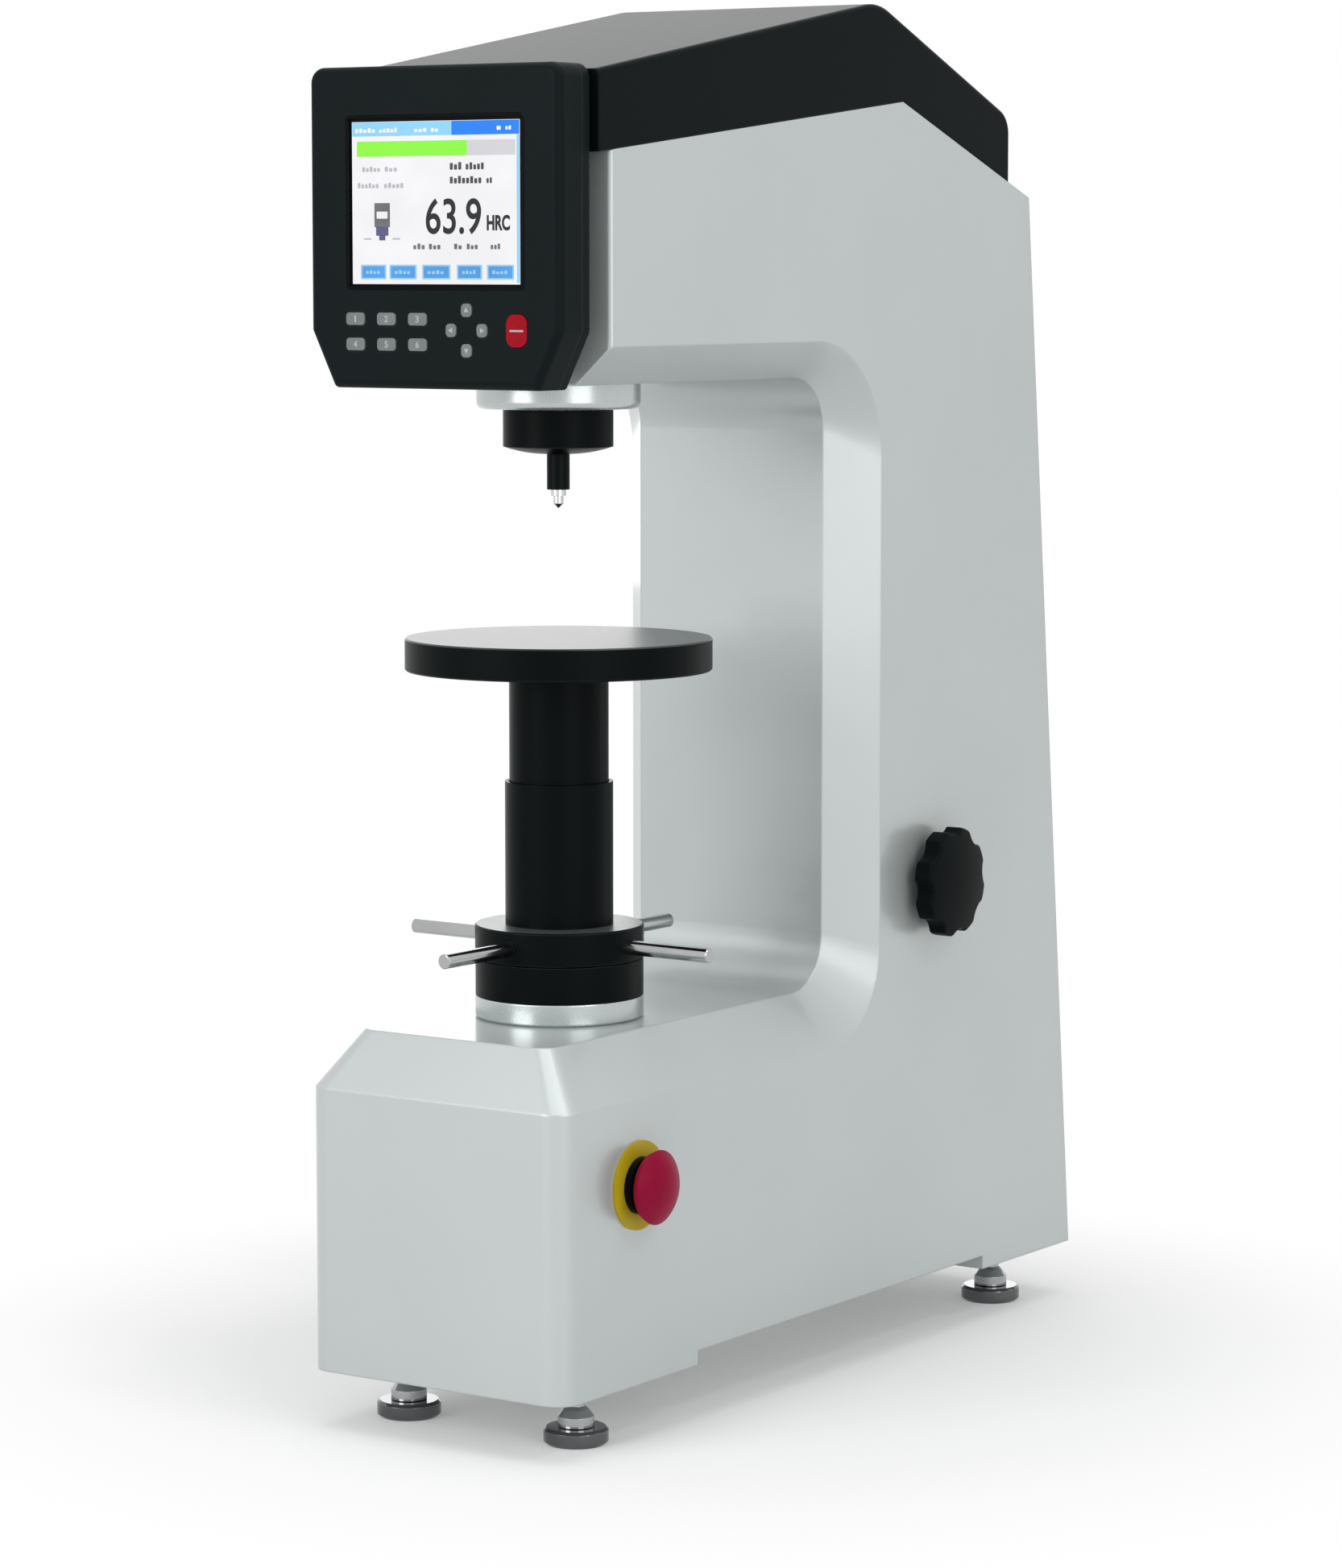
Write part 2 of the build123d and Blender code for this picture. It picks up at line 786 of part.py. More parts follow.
# Silver collar on the base, black bearing ring on it, and the thrust bearing inside
collar_top = base_top + collar_height
ring_top = collar_top + bearing_ring_height
ball_centre = collar_top + race_height + ball_radius
bearing_top = collar_top + 2 * race_height + 2 * ball_radius
bearing_bore = hub_sleeve_radius + 2 * sliding_gap
bearing_outer = bearing_ring_radius - bearing_ring_wall
with BuildPart() as column_collar:
    upright(base_top, collar_top, collar_radius, hub_sleeve_radius + running_fit)
    foot_edges = column_collar.faces().sort_by(Axis.Z)[0].edges().sort_by(SortBy.RADIUS)
    chamfer(foot_edges[-1], length=collar_foot)
finish(column_collar, "column_collar")

with BuildPart() as bearing_ring:
    upright(collar_top, ring_top, bearing_ring_radius, bearing_outer)
finish(bearing_ring, "bearing_ring")

with BuildPart() as thrust_bearing:
    upright(collar_top, collar_top + race_height, bearing_outer - sliding_gap, bearing_bore)
    upright(bearing_top - race_height, bearing_top, bearing_outer - sliding_gap, bearing_bore)
    with Locations(level(ball_centre)):
        with Locations((0, axis_depth)):
            with PolarLocations((bearing_bore + bearing_outer) / 2, ball_count):
                Sphere(ball_radius)
finish(thrust_bearing, "thrust_bearing")

# Handwheel hub, with its sleeve down into the base
hub_bottom = ring_top + hub_seam
hub_top = hub_bottom + hub_height
rod_height = hub_top - rod_drop
rod_spin = [math.radians(rod_turn) + 2 * math.pi * number / rod_count for number in range(rod_count)]


def radial_rods(radius, inner, outer, mode=Mode.ADD):
    """Radial cylinders at the height of the handle rods."""
    for turn in rod_spin:
        direction = (math.cos(turn), math.sin(turn), 0)
        start = (
            mid_x + inner * direction[0],
            front_y + axis_depth + inner * direction[1],
            rod_height,
        )
        with BuildSketch(Plane(origin=start, z_dir=direction)) as section:
            Circle(radius)
        extrude(section.sketch, amount=outer - inner, mode=mode)


with BuildPart() as handwheel_hub:
    spigot_radius = bearing_outer - sliding_gap
    turned(
        [
            (hub_bore_radius, hub_sleeve_bottom),
            (hub_sleeve_radius, hub_sleeve_bottom),
            (hub_sleeve_radius, bearing_top),
            (spigot_radius, bearing_top),
            (spigot_radius, hub_bottom),
            (hub_radius, hub_bottom),
            (hub_radius, hub_top - hub_chamfer),
            (hub_radius - hub_chamfer, hub_top),
            (hub_bore_radius, hub_top),
        ]
    )
    upright(hub_top - hub_socket_depth, hub_top, lower_sleeve_radius, mode=Mode.SUBTRACT)
    radial_rods(rod_radius + locating_gap, rod_seat_radius, hub_radius + rod_radius, Mode.SUBTRACT)
finish(handwheel_hub, "handwheel_hub")

with BuildPart() as handle_rods:
    radial_rods(rod_radius, rod_seat_radius, rod_reach)
    chamfer(handle_rods.edges().filter_by(GeomType.CIRCLE), length=rod_chamfer)
finish(handle_rods, "handle_rods")

with BuildPart() as lift_nut:
    nut_bore = screw_shaft_radius + running_fit
    upright(hub_sleeve_bottom - nut_flange_height, hub_sleeve_bottom, nut_flange_radius, nut_bore)
    upright(
        hub_sleeve_bottom, hub_sleeve_bottom + nut_spigot_height, hub_bore_radius - locating_gap, nut_bore
    )
finish(lift_nut, "lift_nut")

# Telescopic sleeves round the lifting screw
with BuildPart() as lower_sleeve:
    sleeve_bore = lower_sleeve_radius - lower_sleeve_wall
    upright(hub_top - hub_socket_depth, lower_sleeve_top, lower_sleeve_radius, sleeve_bore)
finish(lower_sleeve, "lower_sleeve")

sleeve_inner = upper_sleeve_radius - upper_sleeve_wall
with BuildPart() as upper_sleeve:
    upright(upper_sleeve_bottom, table_bottom, upper_sleeve_radius, sleeve_inner)
finish(upper_sleeve, "upper_sleeve")

# Test table with the boss that the screw carries
shoulder_height = table_bottom - table_boss_height
with BuildPart() as test_table:
    upright(table_bottom, table_top, table_radius)
    rims = test_table.edges().filter_by(GeomType.CIRCLE)
    chamfer(rims, length=table_chamfer)
    upright(shoulder_height, table_bottom, sleeve_inner - locating_gap)
    upright(
        shoulder_height,
        shoulder_height + table_spigot_length,
        table_spigot_radius + locating_gap,
        mode=Mode.SUBTRACT,
    )
finish(test_table, "test_table")

# Lifting screw with its keyway, and the guide that keeps it from turning
with BuildPart() as lifting_screw:
    upright(screw_bottom, shoulder_height, screw_shaft_radius)
    upright(shoulder_height, shoulder_height + table_spigot_length - locating_gap, table_spigot_radius)
    keyway_half = keyway_width / 2 + key_gap / 2
    block(
        (-keyway_half, keyway_half),
        (axis_depth + screw_shaft_radius - keyway_depth, axis_depth + 2 * screw_shaft_radius),
        (screw_bottom, keyway_top),
        Mode.SUBTRACT,
    )
finish(lifting_screw, "lifting_screw")

with BuildPart() as screw_guide:
    guide_bore = screw_shaft_radius + sliding_gap
    upright(floor_top, guide_top, guide_bore + guide_wall, guide_bore)
    upright(floor_top, floor_top + guide_flange_height, guide_flange_radius, guide_bore)
    block(
        (-keyway_width / 2, keyway_width / 2),
        (axis_depth + screw_shaft_radius - keyway_depth + key_gap, axis_depth + guide_bore + guide_wall / 2),
        (guide_top - key_length, guide_top),
    )
finish(screw_guide, "screw_guide")

# Nose of the head: silver boss, black nose ring and the spindle bush
nose_top = head_bottom - head_boss_height
nose_side_bottom = nose_top - nose_side_height
spindle_hole = spindle_radius + running_fit
with BuildPart() as head_boss:
    upright(nose_top, head_bottom, head_boss_radius, bush_radius + locating_gap)
    boss_edges = head_boss.faces().sort_by(Axis.Z)[0].edges().sort_by(SortBy.RADIUS)
    fillet(boss_edges[-1], radius=head_boss_round)
finish(head_boss, "head_boss")

with BuildPart() as nose_ring:
    with BuildSketch(upright_section()) as nose_section:
        with BuildLine():
            nose_hole = spindle_radius + sliding_gap
            crown_edge = (nose_hole, nose_side_bottom - nose_crown)
            crown_middle = ((nose_hole + nose_radius) / 2, nose_side_bottom - nose_crown_share * nose_crown)
            Line((nose_hole, nose_top), (nose_radius, nose_top))
            Line((nose_radius, nose_top), (nose_radius, nose_side_bottom))
            ThreePointArc((nose_radius, nose_side_bottom), crown_middle, crown_edge)
            Line(crown_edge, (nose_hole, nose_top))
        make_face()
    revolve(nose_section.sketch, axis=Axis((mid_x, front_y + axis_depth, 0), (0, 0, 1)))
    upright(bush_bottom, nose_top, bush_radius + locating_gap, mode=Mode.SUBTRACT)
finish(nose_ring, "nose_ring")

head_floor = head_bottom + 2 * throat_wall
with BuildPart() as spindle_bush:
    upright(bush_bottom, bush_top, bush_radius, spindle_hole)
    upright(head_floor, head_floor + bush_flange_height, bush_flange_radius, spindle_hole)
finish(spindle_bush, "spindle_bush")

# Spindle, with the collar that the preload spring presses on
collar_stop = bush_top + spindle_collar_height
shank_bore = indenter_shank_radius + locating_gap
with BuildPart() as spindle:
    upright(spindle_bottom, spindle_top, spindle_radius)
    upright(bush_top, collar_stop, spindle_collar_radius)
    upright(spindle_bottom, spindle_bottom + indenter_shank_length, shank_bore, mode=Mode.SUBTRACT)
finish(spindle, "spindle")

with BuildPart() as indenter:
    holder_bottom = spindle_bottom - indenter_shoulder_height
    cone_top = holder_bottom - indenter_body_height
    turned(
        [
            (0, indenter_tip),
            (indenter_flat_radius, indenter_tip),
            (indenter_body_radius, cone_top),
            (indenter_body_radius, holder_bottom),
            (indenter_shoulder_radius, holder_bottom),
            (indenter_shoulder_radius, spindle_bottom),
            (indenter_shank_radius, spindle_bottom),
            (indenter_shank_radius, spindle_bottom + indenter_shank_length - locating_gap),
            (0, spindle_bottom + indenter_shank_length - locating_gap),
        ]
    )
finish(indenter, "indenter")

# Preload spring round the spindle, between its collar and the bracket's seat
seat_bottom = collar_stop + spring_length
with BuildPart() as preload_spring:
    coil_height = spring_length - 2 * spring_wire_radius
    with BuildLine(Plane(origin=(mid_x, front_y + axis_depth, collar_stop + spring_wire_radius))) as coil:
        Helix(pitch=coil_height / spring_turns, height=coil_height, radius=spring_coil_radius)
    with BuildSketch(Plane(origin=coil.line @ 0, z_dir=coil.line % 0)) as wire:
        RegularPolygon(spring_wire_radius, spring_wire_sides)
    sweep(wire.sketch, path=coil.line, is_frenet=True)
finish(preload_spring, "preload_spring")

# Bracket that carries the lever's fulcrum and the spring's upper seat
cheek_inner = cheek_spacing / 2
cheek_outer = cheek_inner + cheek_thickness
with BuildPart() as fulcrum_bracket:
    inner_floor = head_bottom + throat_wall
    for hand in (-1, 1):
        faces_at = sorted((hand * cheek_inner, hand * cheek_outer))
        block(faces_at, (cheek_front, cheek_back), (inner_floor, inner_floor + cheek_height))
    block(
        (-cheek_inner, cheek_inner),
        (cheek_front, cheek_front + cheek_thickness),
        (inner_floor, inner_floor + cheek_height),
    )
    block(
        (-cheek_inner, cheek_inner),
        (axis_depth - bush_flange_radius, axis_depth + bush_flange_radius),
        (seat_bottom, seat_bottom + seat_thickness),
    )
    upright(seat_bottom, seat_bottom + seat_thickness, spindle_radius + sliding_gap, mode=Mode.SUBTRACT)
    crosswise(
        -cheek_outer,
        cheek_outer,
        trunnion_radius + running_fit,
        fulcrum_depth,
        fulcrum_height,
        mode=Mode.SUBTRACT,
    )
finish(fulcrum_bracket, "fulcrum_bracket")

# Sensor that measures the spindle's travel, on the side of the bracket
with BuildPart() as depth_sensor:
    sensor_bottom = inner_floor + sensor_lift
    block(
        (cheek_outer, cheek_outer + sensor_width),
        (axis_depth - sensor_depth / 2, axis_depth + sensor_depth / 2),
        (sensor_bottom, sensor_bottom + sensor_height),
    )
    fillet(depth_sensor.edges().filter_by(Axis.Z), radius=sensor_corner_radius)
finish(depth_sensor, "depth_sensor")

# Main lever, from the fulcrum over the spindle back to the weights
with BuildPart() as main_lever:
    lever_half = lever_width / 2
    beam = [
        (fulcrum_depth, lever_bottom),
        (lever_back, lever_bottom),
        (lever_back, lever_bottom + lever_back_height),
        (fulcrum_depth + lever_flat_length, lever_bottom + lever_front_height),
        (fulcrum_depth, lever_bottom + lever_front_height),
    ]
    side_prism(beam, -lever_half, lever_half)
    crosswise(-lever_half, lever_half, trunnion_boss_radius, fulcrum_depth, fulcrum_height)
    crosswise(-cheek_outer, cheek_outer, trunnion_radius, fulcrum_depth, fulcrum_height)
    upright(lever_bottom - lever_nose_drop, lever_bottom, lever_nose_radius)
    crosswise(
        -lever_half - clevis_gap - clevis_thickness,
        lever_half + clevis_gap + clevis_thickness,
        hanger_pin_radius,
        hanger_depth,
        lever_bottom + lever_back_height / 2,
    )
finish(main_lever, "main_lever")

# Weight hanger with its clevis round the lever's pin
clevis_inner = lever_half + clevis_gap
clevis_outer = clevis_inner + clevis_thickness
pin_height = lever_bottom + lever_back_height / 2
clevis_bottom = lever_bottom - clevis_drop
hanger_foot = weight_bottom - hanger_foot_height
with BuildPart() as weight_hanger:
    clevis_depths = (hanger_depth - clevis_width / 2, hanger_depth + clevis_width / 2)
    for hand in (-1, 1):
        faces_at = sorted((hand * clevis_inner, hand * clevis_outer))
        block(faces_at, clevis_depths, (clevis_bottom, pin_height + clevis_width / 2))
    block(
        (-clevis_outer, clevis_outer), clevis_depths, (clevis_bottom - clevis_bridge_height, clevis_bottom)
    )
    hanger_axis = (0, hanger_depth)
    upright(hanger_foot, clevis_bottom, hanger_rod_radius, centre=hanger_axis)
    upright(hanger_foot, weight_bottom, hanger_foot_radius, centre=hanger_axis)
    crosswise(
        -clevis_outer,
        clevis_outer,
        hanger_pin_radius + hanger_pin_gap,
        hanger_depth,
        pin_height,
        mode=Mode.SUBTRACT,
    )
finish(weight_hanger, "weight_hanger")

with BuildPart() as load_weights:
    for number in range(weight_count):
        bottom = weight_bottom + number * (weight_height + weight_gap)
        weight_bore = hanger_rod_radius + locating_gap
        upright(bottom, bottom + weight_height, weight_radius, weight_bore, centre=hanger_axis)
finish(load_weights, "load_weights")

# Drive: motor on the left wall, and a heart-shaped cam that lowers and lifts the lever
cam_height = lever_bottom - cam_gap - cam_high_radius
cam_half = cam_width / 2
with BuildPart() as drive_cam:
    rim_points = []
    for number in range(cam_points):
        away = 2 * min(number, cam_points - number) / cam_points
        reach = cam_high_radius - (cam_high_radius - cam_low_radius) * away
        turn = 2 * math.pi * number / cam_points
        rim_points.append((cam_depth + reach * math.sin(turn), cam_height + reach * math.cos(turn)))
    side_prism(rim_points, -cam_half, cam_half)
    motor_inner = -half_width + wall + motor_length
    crosswise(motor_inner - motor_length / 2, cam_half, cam_shaft_radius, cam_depth, cam_height)
finish(drive_cam, "drive_cam")

with BuildPart() as drive_motor:
    motor_outer = -half_width + wall
    crosswise(motor_outer, motor_inner, motor_radius, cam_depth, cam_height)
    crosswise(
        motor_inner - motor_length / 2 - motor_shaft_gap,
        motor_inner,
        cam_shaft_radius + running_fit,
        cam_depth,
        cam_height,
        mode=Mode.SUBTRACT,
    )
finish(drive_motor, "drive_motor")


# Console outline, drawn at a depth and grown inwards by an inset
def console_outline(depth, inset):
    """Front outline of the console: rounded above, chamfered corners below."""
    half = console_half_width - inset
    low = console_bottom + inset
    high = console_top - inset
    chamfer_low = half - console_chamfer_width
    with BuildSketch(facing(depth)) as outline:
        with BuildLine():
            Polyline(
                (chamfer_low, low),
                (half, low + console_chamfer_height),
                (half, high),
                (-half, high),
                (-half, low + console_chamfer_height),
                (-chamfer_low, low),
                close=True,
            )
        make_face()
        upper = outline.vertices().group_by(Axis.Y)[-1]
        fillet(upper, radius=console_top_radius - inset)
        lower = [corner for corner in outline.vertices() if corner.Y < console_middle]
        fillet(lower, radius=console_corner_radius)
    return outline.sketch


def facing_box(middle, size, back, front, radius=0.0, mode=Mode.ADD):
    """Rounded rectangular block between two depths, towards the front."""
    with BuildSketch(facing(back)) as outline:
        with Locations(middle):
            if radius:
                RectangleRounded(*size, radius)
            else:
                Rectangle(*size)
    extrude(outline.sketch, amount=back - front, mode=mode)


# Keys by name, with the middle and the size of each
keys = {}
for row, lift in enumerate(function_key_lifts):
    height = console_bottom + lift
    for column in range(function_key_columns):
        across = function_key_start + column * function_key_pitch
        number = row * function_key_columns + column + 1
        keys[f"function_key_{number}"] = ((across, height), function_key_size, function_key_radius)
for name, across, up in (("up", 0, 1), ("down", 0, -1), ("left", -1, 0), ("right", 1, 0)):
    middle = (arrow_middle + across * arrow_spread[0], arrow_height + up * arrow_spread[1])
    keys[f"arrow_key_{name}"] = (middle, arrow_key_size, arrow_key_radius)
keys["red_key"] = ((red_key_middle, arrow_height), red_key_size, red_key_radius)


def grown(size, margin):
    """Rectangle size grown by a margin on every side."""
    return (size[0] + 2 * margin, size[1] + 2 * margin)


panel_back = console_front + console_wall
screen_size = (2 * screen_half_width, screen_height)
screen_centre = (screen_middle, screen_bottom + screen_height / 2)
with BuildPart() as console_bezel:
    extrude(console_outline(console_split, 0.0), amount=console_split - console_front)
    front_edges = console_bezel.faces().sort_by(Axis.Y)[0].edges()
    fillet(front_edges, radius=console_edge_radius)
    extrude(
        console_outline(console_split, console_wall),
        amount=console_split - panel_back,
        mode=Mode.SUBTRACT,
    )
    facing_box(screen_centre, screen_size, panel_back, console_front, mode=Mode.SUBTRACT)
    for middle, size, radius in keys.values():
        hole = grown(size, key_gap_side)
        facing_box(middle, hole, panel_back, console_front, radius + key_gap_side, Mode.SUBTRACT)
finish(console_bezel, "console_bezel")

with BuildPart() as display_module:
    pane = grown(screen_size, -key_gap_side)
    facing_box(screen_centre, pane, panel_back, console_front + screen_recess)
    facing_box(screen_centre, grown(screen_size, screen_frame), panel_back + screen_module_depth, panel_back)
finish(display_module, "display_module")

# Keys, each with a flange behind the panel and a stem over its switch
flange_front = panel_back + key_flange_gap
flange_back = flange_front + key_flange_thickness
stem_back = flange_back + key_stem_length
for name, (middle, size, radius) in keys.items():
    with BuildPart() as key:
        facing_box(middle, size, flange_front, console_front - key_proud, radius)
        facing_box(middle, grown(size, key_flange), flange_back, flange_front, radius + key_flange)
        with BuildSketch(facing(stem_back)) as stem:
            with Locations(middle):
                Circle(key_stem_radius)
        extrude(stem.sketch, amount=key_stem_length)
    finish(key, name)

# Board behind the keys, on posts of the console's rear shell
board_front = stem_back + key_board_gap
board_back = board_front + key_board_thickness
board_half_width = console_half_width - console_wall - console_chamfer_width
board_size = (2 * board_half_width, 2 * key_board_half_height)
board_middle = (0, arrow_height)
with BuildPart() as key_board:
    facing_box(board_middle, board_size, board_back, board_front)
finish(key_board, "key_board")

with BuildPart() as console_back:
    extrude(console_outline(console_back_face, 0.0), amount=console_back_face - console_split)
    extrude(
        console_outline(console_back_face - console_wall, console_wall),
        amount=console_back_face - console_wall - console_split,
        mode=Mode.SUBTRACT,
    )
    neck_middle = (0, console_bottom + neck_lift + neck_height / 2)
    facing_box(neck_middle, (2 * neck_half_width, neck_height), head_front, console_back_face)
    for across in (-1, 1):
        for up in (-1, 1):
            with BuildSketch(facing(console_back_face - console_wall)) as post:
                with Locations(
                    (
                        across * (board_half_width - 2 * post_radius),
                        arrow_height + up * (key_board_half_height - 2 * post_radius),
                    )
                ):
                    Circle(post_radius)
            extrude(post.sketch, amount=console_back_face - console_wall - board_back)
finish(console_back, "console_back")


# Emergency stop: yellow ring, black collar, contact block, plunger and red cap
def out(distance):
    """Width of a point that stands out of the right side by a distance."""
    return half_width + distance


with BuildPart() as stop_ring:
    crosswise(out(0), out(stop_ring_thickness), stop_ring_radius, stop_depth, stop_height, stop_hole_radius)
finish(stop_ring, "stop_ring")

with BuildPart() as stop_collar:
    collar_out = stop_ring_thickness + stop_collar_height
    stem_hole = stop_plunger_radius + sliding_gap
    crosswise(
        out(stop_ring_thickness), out(collar_out), stop_collar_radius, stop_depth, stop_height, stem_hole
    )
    crosswise(out(-wall), out(stop_ring_thickness), stop_barrel_radius, stop_depth, stop_height, stem_hole)
finish(stop_collar, "stop_collar")

plunger_inner = -wall - stop_nut_height
with BuildPart() as stop_block:
    crosswise(
        out(-wall - stop_nut_height), out(-wall), stop_nut_radius, stop_depth, stop_height, stem_hole
    )
    block(
        (out(plunger_inner - stop_block_length), out(plunger_inner)),
        (stop_depth - stop_block_half, stop_depth + stop_block_half),
        (stop_height - stop_block_half, stop_height + stop_block_half),
    )
    crosswise(
        out(plunger_inner - stop_travel - 2 * sliding_gap),
        out(plunger_inner),
        stem_hole,
        stop_depth,
        stop_height,
        mode=Mode.SUBTRACT,
    )
finish(stop_block, "stop_block")

with BuildPart() as stop_plunger:
    crosswise(out(plunger_inner), out(stop_cap_back), stop_plunger_radius, stop_depth, stop_height)
    crosswise(
        out(stop_cap_back),
        out(stop_cap_back + stop_stem_overlap),
        stop_stem_radius,
        stop_depth,
        stop_height,
    )
finish(stop_plunger, "stop_plunger")

with BuildPart() as stop_cap:
    rim_out = stop_cap_back + stop_cap_rim
    with BuildSketch(cross_section_plane(stop_depth, stop_height)) as cap_section:
        with BuildLine():
            Line((stop_cap_back, 0), (stop_cap_back, stop_cap_radius - stop_cap_rim / 2))
            Line((stop_cap_back, stop_cap_radius - stop_cap_rim / 2), (rim_out, stop_cap_radius))
            crown_arc(rim_out, stop_cap_radius, stop_crown)
            Line((stop_crown, 0), (stop_cap_back, 0))
        make_face()
    cap_axis = Axis((mid_x, front_y + stop_depth, stop_height), (1, 0, 0))
    revolve(cap_section.sketch, axis=cap_axis)
    crosswise(
        out(stop_cap_back),
        out(stop_cap_back + stop_stem_overlap + locating_gap),
        stop_stem_radius + running_fit,
        stop_depth,
        stop_height,
        mode=Mode.SUBTRACT,
    )
finish(stop_cap, "stop_cap")

# Load selector: star knob, and the shaft with the cam under the weights
with BuildPart() as star_knob:
    with BuildSketch(side(out(knob_back))) as star:
        with Locations((selector_depth, selector_height)):
            Circle(knob_radius)
            scallop_middle = knob_radius + knob_scallop_radius - knob_scallop_bite
            with PolarLocations(scallop_middle, knob_lobes, start_angle=knob_scallop_start):
                Circle(knob_scallop_radius, mode=Mode.SUBTRACT)
        fillet(star.vertices(), radius=knob_scallop_bite)
    extrude(star.sketch, amount=knob_crown - knob_back)
    # domed face over the lobes
    dome_rim = knob_radius + knob_edge_round
    with BuildSketch(cross_section_plane(selector_depth, selector_height)) as dome_section:
        with BuildLine():
            Polyline((knob_crown, 0), (knob_back, 0), (knob_back, dome_rim), (knob_front, dome_rim))
            crown_arc(knob_front, dome_rim, knob_crown)
        make_face()
    knob_axis = Axis((mid_x, front_y + selector_depth, selector_height), (1, 0, 0))
    revolve(dome_section.sketch, axis=knob_axis, mode=Mode.INTERSECT)
    fillet(star_knob.faces().sort_by(Axis.X)[-1].edges(), radius=knob_edge_round)
    crosswise(out(knob_panel_gap), out(knob_back), knob_hub_radius, selector_depth, selector_height)
    crosswise(
        out(0),
        out(knob_panel_gap + knob_bore_depth),
        selector_shaft_radius + locating_gap,
        selector_depth,
        selector_height,
        mode=Mode.SUBTRACT,
    )
finish(star_knob, "star_knob")

with BuildPart() as selector_shaft:
    crosswise(
        selector_shaft_inner,
        out(knob_panel_gap + knob_bore_depth - locating_gap),
        selector_shaft_radius,
        selector_depth,
        selector_height,
    )
    crosswise(
        selector_shaft_inner,
        selector_shaft_inner + selector_cam_width,
        selector_cam_radius,
        selector_depth + selector_cam_offset,
        selector_height,
    )
finish(selector_shaft, "selector_shaft")

# Feet: pads that swivel on domed studs, locked by nuts above the floor of the housing
names = ("foot_pad_front_left", "foot_pad_front_right", "foot_pad_rear_left", "foot_pad_rear_right")
for name, place in zip(names, feet):
    with BuildPart() as pad:
        upright(0, pad_height, pad_radius, centre=place)
        outer_edges = pad.edges().filter_by(GeomType.CIRCLE)
        chamfer(outer_edges, length=pad_edge)
        upright(
            pad_height - pad_socket_depth,
            pad_height,
            pad_socket_radius + running_fit,
            centre=place,
            mode=Mode.SUBTRACT,
        )
    finish(pad, name)

dome_bottom = pad_height + foot_dome_gap
with BuildPart() as foot_studs:
    for place in feet:
        upright(pad_height - pad_socket_depth + foot_dome_gap, dome_bottom, pad_socket_radius, centre=place)
        dome_top = dome_bottom + foot_dome_height
        dome = [
            (0, dome_bottom),
            (foot_dome_radius, dome_bottom),
            (foot_dome_radius, dome_bottom + foot_dome_side_height),
            (foot_dome_neck_radius, dome_bottom + foot_dome_slope_height),
            (stud_radius, dome_top),
            (stud_radius, stud_top),
            (0, stud_top),
        ]
        turned(dome, centre=place)
finish(foot_studs, "foot_studs")

with BuildPart() as foot_jam_nuts:
    for place in feet:
        with BuildSketch(level(floor_top)) as hexagon:
            with Locations(place):
                RegularPolygon(jam_nut_width / 2, jam_nut_sides, major_radius=False)
                Circle(stud_radius + locating_gap, mode=Mode.SUBTRACT)
        extrude(hexagon.sketch, amount=jam_nut_height)
finish(foot_jam_nuts, "foot_jam_nuts")

# Power inlet in the rear cover, with its rocker switch, drawn on the leaning rear face
socket_place = (inlet_offset, inlet_height - inlet_socket_drop)
rocker_place = (inlet_offset, inlet_height + rocker_lift)
rocker_room = (rocker_width + 2 * rocker_gap, 2 * (rocker_radius + rocker_gap))
rocker_reach = rocker_width / 2 + rocker_pin_length
inlet_seat = rear_plane(cover_recess)
inlet_face = inlet_seat.offset(inlet_flange_thickness)


def rear_box(plane, middle, size, amount, mode=Mode.ADD):
    """Rectangular block drawn on a plane of the rear face."""
    with BuildSketch(plane) as outline:
        with Locations(middle):
            Rectangle(*size)
    extrude(outline.sketch, amount=amount, mode=mode)


def rocker_plane(across):
    """Upright plane across the rocker, drawn as (up, out) from the rocker's pivot."""
    return Plane(
        origin=inlet_face.from_local_coords((rocker_place[0] + across, rocker_place[1], -rocker_pivot_depth)),
        x_dir=inlet_face.y_dir,
        z_dir=inlet_face.x_dir,
    )


with BuildPart() as power_inlet:
    rear_box(inlet_seat, inlet_place, inlet_flange, inlet_flange_thickness)
    rear_box(inlet_seat, inlet_place, inlet_body, -inlet_body_depth)
    rear_box(inlet_face, socket_place, inlet_socket, -inlet_socket_depth, Mode.SUBTRACT)
    room_depth = rocker_pivot_depth + rocker_radius + rocker_gap
    rear_box(inlet_face, rocker_place, rocker_room, -room_depth, Mode.SUBTRACT)
    with BuildSketch(rocker_plane(-rocker_reach - rocker_gap)) as pin_hole:
        Circle(rocker_pin_radius + running_fit)
    extrude(pin_hole.sketch, amount=2 * (rocker_reach + rocker_gap), mode=Mode.SUBTRACT)
    for number in (-1, 0, 1):
        rise = earth_pin_rise * (1 - abs(number))
        pin_place = (socket_place[0] + number * inlet_pin_spacing, socket_place[1] + rise)
        rear_box(inlet_face.offset(-inlet_socket_depth), pin_place, inlet_pin, inlet_pin_length)
finish(power_inlet, "power_inlet")

